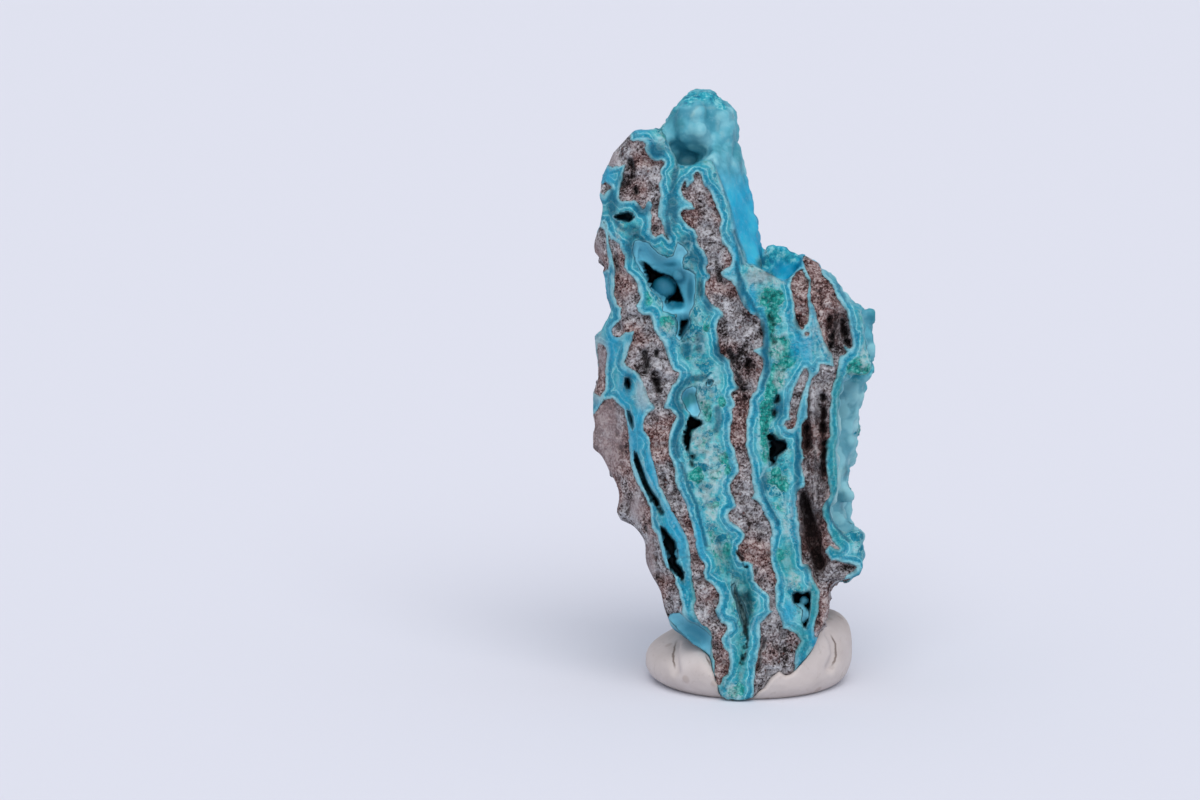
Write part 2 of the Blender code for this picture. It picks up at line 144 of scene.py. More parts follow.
SUN_FROM = Vector((0.12, -0.85, 1.05))
bpy.ops.object.light_add(type="SUN", rotation=SUN_FROM.to_track_quat("Z", "Y").to_euler())
sun = bpy.context.object
sun.data.energy = 1.75
sun.data.angle = math.radians(55)
sun.data.color = paint(255, 253, 250)[:3]

# %% [markdown]
# ## Helpers for outlines
#
# An outline is a row of picture points. Most of the work asks one question of it: how far inside is this
# place? A positive answer is inside and a negative one outside, and from that one number come rounded
# rims, hollows and bands of colour.

# %% Distances on the sheet
def outline(text):
    """Points written as column,row pairs of the picture, as places on the sheet in mm."""
    pixels = np.array([pair.split(",") for pair in text.split()], float)
    return np.column_stack([pixels[:, 0] - CENTRE_PX, FOOT_PY - pixels[:, 1]]) / PX_PER_MM


def nearest_on(places, start, run):
    """Distance from each place to the nearest of these runs, and how often a run lies to its right."""
    distance, crossings = np.empty(len(places)), np.empty(len(places), int)
    slope = run[:, 0] / np.where(run[:, 1] == 0, 1, run[:, 1])
    for first in range(0, len(places), 20000):
        part = slice(first, first + 20000)
        offset = places[part, None, :] - start
        along = np.clip((offset * run).sum(axis=2) / (run**2).sum(axis=1), 0, 1)
        distance[part] = np.linalg.norm(offset - along[..., None] * run, axis=2).min(axis=1)
        above, next_above = offset[..., 1] < 0, offset[..., 1] - run[:, 1] < 0
        crossed = (above != next_above) & (offset[..., 0] < slope * offset[..., 1])
        crossings[part] = crossed.sum(axis=1)
    return distance, crossings


def close_to(places, corners, reach):
    return ((places > corners.min(axis=0) - reach) & (places < corners.max(axis=0) + reach)).all(axis=1)


def inside_by(places, corners, reach=4.0):
    """How far each place lies inside a closed outline, in mm. Beyond the reach it is just -reach."""
    inside = np.full(len(places), -reach)
    near = close_to(places, corners, reach)
    distance, crossings = nearest_on(places[near], corners, np.roll(corners, -1, axis=0) - corners)
    inside[near] = np.where(crossings % 2 == 1, distance, np.maximum(-distance, -reach))
    return inside


def from_line(places, corners, reach=3.0):
    """How far each place is from an open line, in mm, at most the reach."""
    away = np.full(len(places), reach)
    near = close_to(places, corners, reach)
    if near.any():
        away[near] = np.minimum(nearest_on(places[near], corners[:-1], np.diff(corners, axis=0))[0], reach)
    return away


def ease(value):
    """0 below 0, 1 above 1 and a smooth step between."""
    value = np.clip(value, 0, 1)
    return value * value * (3 - 2 * value)


def pillow(inside, radius):
    """0 on a rim, 1 at this radius inside it, along a quarter circle."""
    return np.sqrt(1 - (1 - np.clip(inside / radius, 0, 1)) ** 2)


def wander(places, size, seed, octaves=3):
    """Smooth noise of about -1 to 1 whose lumps are this many mm across."""
    shift = Vector((seed * 17.3, seed * 5.1, seed * 9.7))
    return np.array([noise.fractal(Vector(place) / size + shift, 0.8, 2.0, octaves) for place in places])


# %% [markdown]
# ## The outlines of the masses
#
# Four masses make the stone: the broken face, the knob that stands up behind it, and two rounded growths
# on its right. Where a mass can't be seen because another stands before it, its outline is a guess.

# %% Outlines of the four masses
FACE = outline("""630,134 633,130 640,129 648,131 652,128 658,127 662,130 664,135 670,150 675,157
676,166 683,167 690,165 697,161 704,160 711,161 714,168 718,178 723,190 727,200 731,215 735,232 740,245
744,255 746,264 752,265 760,268 770,273 778,279 785,282 790,276 796,271 801,262 803,252 808,256 811,260
818,260 819,265 821,271 827,275 834,280 839,287 846,302 862,310 864,335 866,348 872,358 873,366 868,376
846,373 842,383 839,396 838,409 838,419 840,430 837,442 836,452 837,462 838,473 837,491 835,499 830,504
830,512 833,522 838,529 848,532 857,527 864,534 860,539 863,549 862,557 864,568 859,575 852,578 841,579
831,580 829,583 829,590 828,600 827,611 824,623 820,631 817,640 813,648 805,659 796,670 791,675 785,677
779,672 771,679 765,688 758,693 753,698 744,700 736,702 725,700 718,693 717,685 714,681 712,670 711,656
704,650 692,644 681,633 672,627 669,622 667,615 664,609 662,598 660,588 653,578 648,568 645,560 645,551
646,543 642,535 637,529 630,522 625,511 619,503 619,490 615,480 609,470 604,460 600,450 597,440 595,430
594,418 591,408 591,398 594,393 596,388 598,378 599,370 598,360 598,352 596,345 597,340 601,330 604,322
609,317 613,312 611,307 609,300 607,290 608,280 607,270 604,263 599,257 595,250 595,240 596,231 601,227
600,222 601,213 603,208 602,200 600,192 600,187 601,183 602,176 604,169 609,165 610,158 613,152 619,146
625,139""")
KNOB = outline("""664,140 662,130 664,133 667,122 671,113 677,107 681,100 686,95 692,91 700,88 706,87
713,91 720,96 726,100 731,106 735,114 738,122 738,133 739,145 741,160 744,170 748,185 752,200 757,225
760,245 761,262 758,300 740,330 690,330 660,280 660,200""")
SHOULDER = outline("""761,266 764,259 770,257 770,247 775,242 780,240 785,244 792,248 802,252 808,256
814,264 812,300 790,320 755,300""")
FLANK = outline("""846,291 853,298 860,302 867,301 874,306 878,313 877,321 877,327 882,337 882,343
880,348 882,355 877,360 873,362 873,367 870,376 873,384 871,392 869,396 864,400 865,410 864,420 862,430
862,440 861,450 862,460 856,466 853,470 853,480 855,488 855,498 852,506 851,512 855,521 860,528 861,545
850,566 820,560 815,450 825,380 835,310""")

# Where the face bends back towards the left flank, and how fast; the same for its top right corner.
LEFT_BEND = outline("640,120 632,170 622,240 628,320 634,400 650,470 668,545 690,640")
LEFT_BEND_SLOPE = 1.1
TOP_RIGHT_BEND = outline("800,300")[0]
TOP_RIGHT_SLOPE = 1.0

EDGE_BACK, MIDDLE_BACK = 8.2, 15.6  # mm, the stone's depth at its rim and in its middle
BACK_ROUNDING = 8.5  # mm


def face_front(x, y):
    """Depth of the broken face behind the sheet."""
    bend_x = np.interp(-y, -LEFT_BEND[:, 1], LEFT_BEND[:, 0])
    left = LEFT_BEND_SLOPE * np.clip(bend_x - x, 0, None)
    corner_x, corner_y = TOP_RIGHT_BEND
    top = TOP_RIGHT_SLOPE * np.clip(y - corner_y, 0, None) * ease((x - corner_x) / 2 + 1)
    return left + top


def stone_back(inside):
    return EDGE_BACK + (MIDDLE_BACK - EDGE_BACK) * pillow(inside, BACK_ROUNDING)


# %% [markdown]
# ## From outlines to solid masses
#
# A flat curve with an extrusion gives a plate, as if cut from card. Remesh turns the plate into an even
# net of small squares, and then each point is given a depth of its own. Sculpting would work as well, but
# a depth written as a function of the outline keeps the rim exactly where it was drawn.

# %% Helpers for meshes
VOXEL = 0.3  # mm


def only(obj):
    """Selects this object alone and makes it the active one."""
    bpy.ops.object.select_all(action="DESELECT")
    obj.select_set(True)
    bpy.context.view_layer.objects.active = obj
    return obj


def modified(obj, kind, **values):
    """Adds a modifier with these values and makes it part of the mesh."""
    only(obj)
    modifier = obj.modifiers.new(kind.title(), kind)
    for name, value in values.items():
        setattr(modifier, name, value)
    bpy.ops.object.modifier_apply(modifier=modifier.name)
    return obj


def remeshed(obj, voxel=VOXEL):
    return modified(obj, "REMESH", mode="VOXEL", voxel_size=voxel)


def joined(objects):
    only(objects[0])
    for obj in objects[1:]:
        obj.select_set(True)
    bpy.ops.object.join()
    return objects[0]


def read_points(obj, what="co"):
    flat = np.empty(len(obj.data.vertices) * 3, np.float32)
    obj.data.vertices.foreach_get(what, flat)
    return flat.reshape(-1, 3).astype(float)


def move_points(obj, points):
    obj.data.vertices.foreach_set("co", points.astype(np.float32).ravel())
    obj.data.update()


def count_triangles(obj):
    return sum(len(face.vertices) - 2 for face in obj.data.polygons)


PLATE_THICKNESS = 6.0  # mm


def plate(name, corners):
    """A closed plate with this outline, centred on the sheet, as an even net of squares."""
    curve = bpy.data.curves.new(name, "CURVE")
    curve.dimensions = "2D"
    curve.fill_mode = "BOTH"
    curve.extrude = PLATE_THICKNESS / 2
    spline = curve.splines.new("POLY")
    spline.points.add(len(corners) - 1)
    for point, (x, y) in zip(spline.points, corners):
        point.co = (x, y, 0, 1)
    spline.use_cyclic_u = True
    obj = bpy.data.objects.new(name, curve)
    bpy.context.scene.collection.objects.link(obj)
    only(obj)
    bpy.ops.object.convert(target="MESH")
    obj = bpy.context.object
    bpy.ops.object.mode_set(mode="EDIT")
    bpy.ops.mesh.select_all(action="SELECT")
    bpy.ops.mesh.remove_doubles(threshold=0.0001)
    bpy.ops.mesh.normals_make_consistent(inside=False)
    bpy.ops.object.mode_set(mode="OBJECT")
    return remeshed(obj)


def between(obj, front_of, back_of):
    """Stretches a plate to lie between two depths, each a function of x and y."""
    points = read_points(obj)
    share = np.clip(0.5 - points[:, 2] / PLATE_THICKNESS, 0, 1)
    front, back = front_of(points[:, :2]), back_of(points[:, :2])
    points[:, 2] = -(front + share * (back - front))
    move_points(obj, points)
    return obj


# %% The four masses
def face_depth(places):
    rim = 0.35 * (1 - pillow(inside_by(places, FACE), 0.5))
    return face_front(places[:, 0], places[:, 1]) + rim


def knob_depth(places):
    """The knob's dome, and the smooth skin that slopes from the face's edge to the right."""
    domed = 7.0 - 2.6 * pillow(inside_by(places, KNOB), 2.6)
    off_face = np.clip(-inside_by(places, FACE, 9.0), 0, None)
    gap_from, gap_to = outline("673,0 704,0")[:, 0]
    along_edge = ease((places[:, 0] - gap_from) / 0.9) * ease((gap_to - places[:, 0]) / 0.9)
    domed += 2.2 * ease(1.2 - off_face / 1.2) * along_edge
    skin = 0.4 + 1.9 * off_face
    skin_from_x = outline("708,0")[0, 0]
    return np.where(places[:, 0] > skin_from_x, np.minimum(domed, skin), domed)


def side_mass(name, corners, nearest, rim):
    """A rounded mass behind the face, from its rim's depth to its nearest one."""
    return between(
        plate(name, corners),
        lambda places: rim - (rim - nearest) * pillow(inside_by(places, corners), 1.6),
        lambda places: rim + 1 + 4.5 * pillow(inside_by(places, corners), 3.0),
    )


masses = [
    between(plate("face", FACE), face_depth, lambda places: stone_back(inside_by(places, FACE, 9.0))),
    between(plate("knob", KNOB), knob_depth, lambda places: 9 + 4 * pillow(inside_by(places, KNOB), 4.0)),
    side_mass("shoulder", SHOULDER, 5.0, 7.0),
    side_mass("flank", FLANK, 4.6, 8.0),
]
print("masses:", [(mass.name, count_triangles(mass)) for mass in masses])

# %% [markdown]
# ## Rounded growths
#
# The blue layers grew as crusts, and a crust that grows freely ends in lumps like a bunch of grapes. One
# round lump is modelled, and every growth is a copy of it at its own size. The ones on the back and the
# right flank are scattered with a seeded draw, so that each run gives the same stone.

# %% Lumps
LUMPS = (
    # picture column and row, depth and radius in mm
    (692, 124, 5.0, 2.05), (694, 120, 8.4, 1.9), (711, 120, 10.6, 2.0), (705, 101, 5.2, 0.95),
    (722, 121, 5.0, 1.2), (720, 146, 5.0, 1.5), (683, 113, 3.9, 0.85), (700, 133, 3.5, 0.95),
    (685, 135, 3.9, 0.9), (727, 137, 4.6, 0.9), (697, 111, 3.6, 0.9), (672, 131, 5.6, 1.1),
    (641, 136, 2.0, 0.8), (655, 134, 2.4, 0.8), (608, 195, 2.4, 0.8), (602, 246, 3.2, 0.8),
    (778, 251, 6.0, 1.0), (796, 262, 6.2, 1.0), (867, 314, 5.6, 1.0), (870, 341, 5.6, 1.0),
    (864, 362, 5.4, 0.9), (858, 387, 5.4, 1.1), (853, 412, 5.4, 1.0), (852, 440, 5.4, 1.1),
    (847, 470, 5.2, 1.0), (844, 496, 5.4, 1.0), (850, 524, 5.2, 1.0), (853, 549, 4.2, 1.1),
    (792, 579, 1.2, 1.0), (796, 617, 1.4, 0.9), (602, 440, 4.6, 1.0), (628, 510, 4.2, 1.0),
    (663, 285, 4.0, 1.2), (752, 296, 1.0, 1.0), (700, 440, 1.6, 0.9),
)
BACK_LUMPS, BACK_LUMP_RADII, SEED = 46, (1.1, 2.3), 7
FLANK_LUMPS, FLANK_LUMP_RADII, FLANK_LUMP_DEPTHS = 60, (0.8, 1.7), (6.0, 13.0)
FLANK_RIM = outline("""738,110 741,158 757,225 761,262 802,258 846,296 876,318 880,345 872,380 864,410
862,445 853,475 851,510 862,535 860,565 829,585 820,631""")


def flank_lumps():
    pick = random.Random(SEED)
    for _ in range(FLANK_LUMPS):
        y = pick.uniform(FLANK_RIM[-1, 1], FLANK_RIM[0, 1])
        rim_x = np.interp(-y, -FLANK_RIM[:, 1], FLANK_RIM[:, 0])
        radius = pick.uniform(*FLANK_LUMP_RADII)
        depth = pick.uniform(*FLANK_LUMP_DEPTHS)
        yield rim_x - 1.05 * radius - 0.02 * (depth - FLANK_LUMP_DEPTHS[0]) ** 2, y, depth, radius


def back_lumps():
    pick = random.Random(SEED + 1)
    low, high = outline("600,620 850,150")
    made = 0
    while made < BACK_LUMPS:
        x, y = pick.uniform(low[0], high[0]), pick.uniform(low[1], high[1])
        inside = inside_by(np.array([[x, y]]), FACE, 9.0)[0]
        if inside < 1.4:
            continue
        radius = pick.uniform(*BACK_LUMP_RADII)
        yield x, y, stone_back(inside) - 0.55 * radius, radius
        made += 1


def placed_lumps():
    for px, py, depth, radius in LUMPS:
        x, y = outline(f"{px},{py}")[0]
        yield x, y, depth, radius


def copies_of(pattern, spots):
    """A copy of the lump at each x, y, depth and radius, each with its own mesh."""
    made = []
    for x, y, depth, radius in spots:
        copy = bpy.data.objects.new("growth", pattern.data.copy())
        copy.data.transform(Matrix.Translation((x, y, -depth)) @ Matrix.Scale(radius, 4))
        bpy.context.scene.collection.objects.link(copy)
        made.append(copy)
    return made


bpy.ops.object.select_all(action="DESELECT")
bpy.ops.mesh.primitive_ico_sphere_add(subdivisions=4, radius=1)
growth = bpy.context.object
growth.data.transform(Matrix.Diagonal((1, 1.1, 0.9, 1)))
growths = copies_of(growth, [*placed_lumps(), *flank_lumps(), *back_lumps()])
stone = remeshed(joined([*masses, *growths]))
print("fused:", count_triangles(stone), "triangles from", len(growths), "growths")

# %% [markdown]
# ## Hollows
#
# The layers didn't fill the vein, and the spaces between them are lined with a smooth blue skin. The wide
# basins are pushed straight back into the face now, and Remesh mends their stretched walls. The steep dark
# holes are listed here too, but they are dropped later, on finer squares.

# %% Where the hollows are
BASIN, GROUND = "smooth blue basin", "hollow in rock or crumbs"
HOLE, CHASM = "narrow dark hole", "chasm in rock"
HOLLOWS = [(depth, soft, kind, outline(text)) for depth, soft, kind, text in (
    # depth and softness of the rim in mm, what it is, and the mouth
    (2.5, 1.5, BASIN, """634,241 638,239 648,242 653,248 659,253 667,257 673,255 675,250 677,242
    684,246 689,253 684,256 682,262 684,268 692,271 695,274 695,281 695,296 693,304 690,311 689,316
    690,322 686,328 683,336 679,341 675,336 678,330 678,323 675,318 677,314 671,314 666,312 662,311
    663,304 660,298 656,292 650,288 646,278 641,271 635,261 632,250"""),
    (3.4, 0.9, BASIN, """677,318 682,315 689,316 690,322 686,328 683,336 679,341 676,336 677,330
    677,323"""),
    (1.8, 0.5, HOLE, "679,321 689,319 690,324 686,331 682,338 678,335 680,328"),
    (5.8, 0.35, HOLE, """641,260 647,263 653,269 659,272 664,273 670,275 674,278 679,287 684,302
    674,301 664,301 657,294 652,290 649,285 646,278 643,269"""),
    (2.4, 0.2, HOLE, "613,216 620,213 628,211 633,214 634,218 630,222 623,221 617,219"),
    (2.2, 0.3, HOLE, "625,378 629,377 631,383 630,389 626,388 624,384"),
    (1.5, 0.3, HOLE, "627,410 630,411 633,417 634,426 632,429 629,423 627,416"),
    (2.6, 0.3, HOLE, """634,451 637,453 640,461 644,472 648,483 653,492 659,500 660,508 655,505
    649,497 643,485 638,472 634,461"""),
    (3.6, 0.3, HOLE, """660,526 665,528 669,534 675,541 677,550 678,556 676,562 681,567 684,572
    684,580 678,576 670,570 667,556 663,542"""),
    (1.3, 0.5, BASIN, """681,398 682,392 686,388 693,385 697,387 696,395 698,404 700,412 698,417
    692,416 686,408"""),
    (4.0, 0.2, HOLE, """690,415 695,418 701,420 702,424 696,428 691,430 690,434 691,437 690,442
    689,448 688,454 686,450 683,443 682,438 684,432 687,424 688,418"""),
    (1.0, 0.3, HOLE, "706,381 710,378 713,380 711,385 707,386"),
    (3.4, 0.2, HOLE, """767,434 772,433 777,439 784,440 787,443 787,448 782,452 777,456 776,462
    771,466 769,459 770,450"""),
    (3.4, 0.2, HOLE, """792,594 796,591 803,593 809,590 811,597 810,607 809,617 805,630 801,620
    802,610 797,605 793,602"""),
    (1.2, 0.4, GROUND, "712,543 719,546 723,549 725,560 721,563 716,555"),
    (0.9, 0.8, GROUND, """709,528 720,530 728,540 730,556 740,570 750,580 753,600 752,625
    747,650 741,664 737,650 734,620 728,598 722,572 714,548"""),
    (2.0, 0.3, HOLE, """731,584 735,583 736,590 739,596 744,604 747,614 749,624 745,629 741,622
    738,612 735,600 732,594"""),
    (1.9, 0.7, BASIN, """667,617 673,612 680,612 687,620 697,624 704,629 711,636 711,656 704,651
    692,644 681,633"""),
    (1.5, 0.3, GROUND, "737,672 741,670 744,673 743,680 739,680"),
    (1.2, 0.9, GROUND, "823,312 830,316 835,325 834,345 829,350 825,335"),
    (1.2, 0.9, GROUND, "837,316 845,318 851,332 851,345 843,342 839,330"),
    (1.9, 0.3, CHASM, """799,492 805,489 809,497 812,507 815,517 818,530 822,541 823,553 826,564
    822,573 815,570 811,560 808,548 804,541 803,528 802,515 798,505"""),
    (1.4, 0.3, CHASM, """803,424 808,421 811,425 809,433 812,441 809,449 805,454 803,445 805,437
    802,431"""),
)]


def hollow_depth(places, kinds=(BASIN, GROUND, HOLE, CHASM)):
    """How far the face is pushed in at each place, in mm."""
    deep = np.zeros(len(places))
    for depth, soft, kind, mouth in HOLLOWS:
        if kind in kinds:
            deep = np.maximum(deep, depth * ease(inside_by(places, mouth, 2.0) / soft + 0.25))
    return deep


def inside_hollows(places, kinds):
    """How far each place lies inside the nearest hollow of these kinds, in mm."""
    return np.max([inside_by(places, mouth, 2.0) for _, _, kind, mouth in HOLLOWS if kind in kinds], axis=0)


def behind_face(points):
    return -points[:, 2] - face_front(points[:, 0], points[:, 1])


points = read_points(stone)
on_front = ease((2.2 - behind_face(points)) / 1.2)
points[:, 2] -= hollow_depth(points[:, :2], (BASIN, GROUND)) * on_front
move_points(stone, points)
remeshed(stone)
bpy.data.objects.remove(growth)
print("with basins:", count_triangles(stone), "triangles")

# %% [markdown]
# ## A broken surface
#
# The sides and the back were torn loose, so they are rough at several sizes at once. Noise moves each point
# along its normal, wide swells first and small ones after. The knob and its skin grew smooth and keep
# most of their shape. A slanting cut then shapes the foot, which the putty hides.

# %% Swells, ledges and the foot
SWELLS = ((8.0, 0.7), (3.0, 0.45), (1.3, 0.16))  # mm, how wide and how high
SMOOTH_SKIN = 0.8
LEDGE_DEPTH, LEDGE_SIZE = 1.5, (2.4, 11, 7)  # mm
FOOT_RISE = 0.42

points = read_points(stone)
behind = behind_face(points)
broken = 1 - SMOOTH_SKIN * ease(inside_by(points[:, :2], KNOB) + 1)
swell = sum(high * (wander(points, wide, seed) - 0.2) for seed, (wide, high) in enumerate(SWELLS))
swell *= broken * ease((behind - hollow_depth(points[:, :2], (BASIN, GROUND)) - 1.2) / 2)
ledges = LEDGE_DEPTH * np.abs(wander(points / LEDGE_SIZE, 1.0, 2)) * broken * ease((behind - 6) / 3)
move_points(stone, points + (swell - ledges)[:, None] * read_points(stone, "normal"))

only(stone)
bpy.ops.object.mode_set(mode="EDIT")
bpy.ops.mesh.select_all(action="SELECT")
bpy.ops.mesh.bisect(plane_co=(0, 0.1, -0.4), plane_no=(0, 1, FOOT_RISE), use_fill=True, clear_inner=True)
bpy.ops.object.mode_set(mode="OBJECT")
remeshed(stone)


def largest_piece(obj):
    """Drops the crumbs that remeshing leaves beside or inside the body."""
    only(obj)
    bpy.ops.mesh.separate(type="LOOSE")
    pieces = sorted(bpy.context.selected_objects, key=lambda piece: len(piece.data.vertices))
    for crumb in pieces[:-1]:
        bpy.data.objects.remove(crumb)
    return pieces[-1]


stone = largest_piece(stone)
stone.name = stone.data.name = "banded_stone"
print("broken surface:", count_triangles(stone), "triangles")

# %% [markdown]
# ## The rock between the layers
#
# These are the outlines of the brown rock on the face, read point by point. The blue layers follow them at
# even distances, so the distance to the nearest rock is enough to draw every band. Behind the face the same
# pattern goes on, but it drifts more and more, as real layers wander through a stone.

# %% Outlines of the rock
ROCKS = [outline(text) for text in (
    # the brown cap at the top left
    """622,126 630,134 630,140 638,141 643,141 645,144 644,148 647,154 651,159 657,161 661,160 664,162
    663,166 660,169 660,173 661,178 658,184 659,189 661,195 659,200 658,208 658,216 661,221 663,227
    666,234 669,240 662,233 658,235 656,237 653,235 651,229 651,221 651,212 652,204 650,199 647,201
    646,206 643,210 640,205 635,200 629,200 622,201 619,198 620,191 621,185 623,177 624,170 625,164
    612,167 609,165 598,160 600,150""",
    "592,184 601,184 605,182 609,184 612,187 607,190 604,196 600,192",
    "590,231 601,227 604,230 606,238 606,248 608,256 609,263 607,269 600,272 588,262",
    # the long vein on the left
    """604,222 610,237 619,244 623,252 625,260 624,266 627,272 633,277 637,284 638,291 640,297 639,302
    636,305 638,311 643,315 650,315 651,321 654,329 657,335 662,342 665,349 668,357 670,364 672,369
    679,373 677,379 672,385 669,391 667,399 664,405 664,408 670,409 673,412 676,416 674,421 671,427
    669,434 668,441 668,448 669,454 671,460 674,467 675,473 674,480 677,487 680,493 684,500 687,509
    691,520 693,530 695,539 696,548 699,556 704,563 705,567 703,572 705,580 711,583 716,588 719,594
    718,603 715,609 716,615 721,622 726,624 727,629 723,634 721,638 723,646 728,652 729,660 728,672
    722,678 719,685 716,683 714,672 714,660 712,652 712,641 711,632 708,627 702,624 698,619 694,611
    694,604 696,598 695,592 693,582 691,574 690,564 690,553 689,543 686,535 681,527 676,518 671,510
    667,500 663,492 659,485 657,476 655,467 652,458 650,450 650,442 648,436 644,430 643,424 645,417
    649,412 655,409 655,407 653,405 650,401 647,395 645,388 642,381 639,374 633,369 626,365 624,362
    627,355 629,348 632,340 634,331 631,331 625,332 622,334 619,337 613,335 611,329 615,324 621,319
    620,315 621,308 617,302 614,295 615,287 614,277 615,269 613,261 611,250 608,240 607,230""",
    # the long vein in the middle
    """697,172 701,174 702,180 705,186 708,190 711,194 713,200 716,206 718,212 721,219 719,227 720,235
    722,243 727,248 730,254 732,261 730,266 725,269 720,272 723,277 731,280 735,287 737,294 741,300
    745,308 750,313 756,315 760,320 761,328 763,337 763,345 758,348 753,350 757,353 762,358 763,364
    761,372 757,383 756,390 751,394 749,400 750,406 748,413 746,419 746,427 746,436 745,444 747,452
    749,459 751,465 751,473 752,481 753,488 754,495 750,498 757,500 761,506 764,514 768,520 770,524
    772,531 770,539 770,548 770,557 772,567 775,574 776,581 774,587 775,594 775,603 776,610 779,614
    781,621 783,628 790,630 796,634 800,640 798,645 795,650 795,658 793,671 790,686 779,682 771,689
    765,698 757,704 752,704 754,691 754,680 756,666 758,654 760,646 761,636 760,629 760,623 765,618
    769,614 773,611 770,609 769,604 770,597 766,592 760,587 754,580 753,572 752,564 748,561 740,560
    737,553 738,546 743,540 746,535 744,531 737,526 730,520 728,516 729,512 736,506 735,503 733,496
    730,491 730,484 733,479 737,475 739,471 738,464 736,458 735,452 734,447 731,442 730,436 730,430
    731,424 733,419 732,414 732,409 734,406 735,403 733,398 731,394 733,391 738,389 739,386 736,383
    733,379 733,372 730,367 730,360 725,357 720,352 719,345 719,338 717,331 717,324 719,319 723,316
    723,311 719,308 713,304 708,299 705,293 705,287 706,281 710,278 710,275 707,271 706,266 708,262
    707,256 704,250 699,245 697,240 697,234 694,229 687,225 683,219 680,214 682,210 686,209 696,209
    691,203 686,200 682,195 681,190 682,185 685,180 686,187 688,187 690,184 694,180 694,175""",
    "792,278 796,272 802,269 804,274 808,280 808,290 807,296 808,306 809,315 807,324 804,325 802,329 "
    "798,325 796,318 794,308 794,302 792,294 791,285",
    "802,372 805,368 809,373 807,380 804,388 801,397 799,405 797,413 796,421 795,427 791,429 787,428 "
    "784,424 786,421 790,419 789,412 790,404 792,396 795,387 798,379",
    "805,332 809,332 809,336 805,336",
    # the dark vein on the right, with the tongue of the ledge
    """804,244 820,256 819,265 822,274 829,281 834,289 837,298 841,304 846,311 848,320 850,329 852,337
    852,346 849,349 843,344 846,352 842,355 839,355 838,363 837,372 834,381 831,390 831,399 829,408
    829,417 829,426 830,434 828,438 825,442 825,450 825,460 826,471 828,479 829,486 830,494 828,499
    824,502 822,508 822,516 826,523 827,529 829,534 832,540 836,545 840,549 835,549 829,545 825,551
    831,560 836,560 843,563 850,564 856,567 852,571 846,576 841,582 834,588 836,600 834,612 830,625
    822,640 815,636 814,630 815,621 818,611 819,600 820,590 816,584 812,577 811,570 808,564 802,564
    802,557 801,549 801,541 799,531 798,514 797,503 797,493 799,489 805,486 805,482 804,476 802,471
    801,465 802,460 805,457 807,454 803,452 802,446 802,438 803,430 806,422 808,416 807,409 807,399
    809,388 812,378 819,371 820,364 828,365 833,366 833,359 831,353 826,345 822,335 819,324 816,314
    814,306 811,302 810,294 811,287 811,281 808,274 805,268 803,261""",
    # the outer left flank
    """604,400 612,398 620,405 624,409 626,419 628,430 629,440 629,450 630,460 632,470 635,479 639,487
    644,494 650,508 650,517 652,527 657,535 659,543 661,551 663,560 666,567 671,570 674,574 675,582
    678,591 681,600 682,609 682,615 684,622 676,626 660,612 640,570 610,520 584,460 586,425""",
    "598,343 606,347 607,356 605,372 605,388 600,396 594,392 594,380",
)]

# %% [markdown]
# ## Finer squares where the eye rests
#
# The face needs points about every 0.15 mm, and the back doesn't. Subdivide works on the selected faces
# only, so the face is picked out by its place: near the sheet and turned towards the viewer.

# %% Subdivide the broken face
def select_faces(obj, chosen):
    bpy.ops.object.mode_set(mode="EDIT")
    bpy.ops.mesh.select_mode(type="FACE")
    bpy.ops.mesh.select_all(action="DESELECT")
    bpy.ops.object.mode_set(mode="OBJECT")
    obj.data.polygons.foreach_set("select", chosen)
    bpy.ops.object.mode_set(mode="EDIT")


centres = np.empty(len(stone.data.polygons) * 3, np.float32)
stone.data.polygons.foreach_get("center", centres)
centres = centres.reshape(-1, 3).astype(float)
normals = np.empty(len(stone.data.polygons) * 3, np.float32)
stone.data.polygons.foreach_get("normal", normals)
towards_viewer = normals.reshape(-1, 3)[:, 2]
near_sheet = behind_face(centres) < 1.3 + hollow_depth(centres[:, :2], (BASIN, GROUND))
only(stone)
select_faces(stone, near_sheet & (towards_viewer > -0.1))
bpy.ops.mesh.subdivide(number_cuts=1, smoothness=0)
bpy.ops.object.mode_set(mode="OBJECT")
print("finer face:", count_triangles(stone), "triangles")

# %% [markdown]
# ## Dark holes, and the growths inside them
#
# A hole is far deeper than it is wide, so its walls need no points of their own: the fine squares within
# its outline just drop. Where a round growth stands in the hole they drop only as far as its dome. The eye
# then reads a ball in a dark cave.

# %% Drop the dark holes
INNER_LUMPS = (
    # picture column and row, depth of the top and radius in mm
    (663.6, 287.8, 2.5, 1.06), (679, 275, 1.5, 0.5), (797, 614, 0.2, 0.95), (792, 580, -0.25, 0.95),
    (787, 601, 0.3, 0.5), (699, 441, -0.1, 0.75), (706, 432, 0.1, 0.6), (697, 448, 0.1, 0.6),
    (701, 433, -0.1, 0.6), (705, 396, -0.15, 0.85), (680, 553, 1.2, 0.5), (692, 386, 0.5, 0.4),
    (718, 556, 0.5, 0.5), (712, 534, 0.2, 0.5), (743, 590, 0.1, 0.5), (728, 610, 0.1, 0.45),
    (752, 643, 0.2, 0.4), (775.5, 458, 1.8, 0.22), (804, 600, 1.4, 0.4),
)


def inside_lumps(places):
    """How far each place lies inside the circle of the nearest round growth, in mm."""
    rounds = [(outline(f"{px},{py}")[0], radius) for px, py, _, radius in INNER_LUMPS]
    return np.max([radius - np.linalg.norm(places - middle, axis=1) for middle, radius in rounds], axis=0)


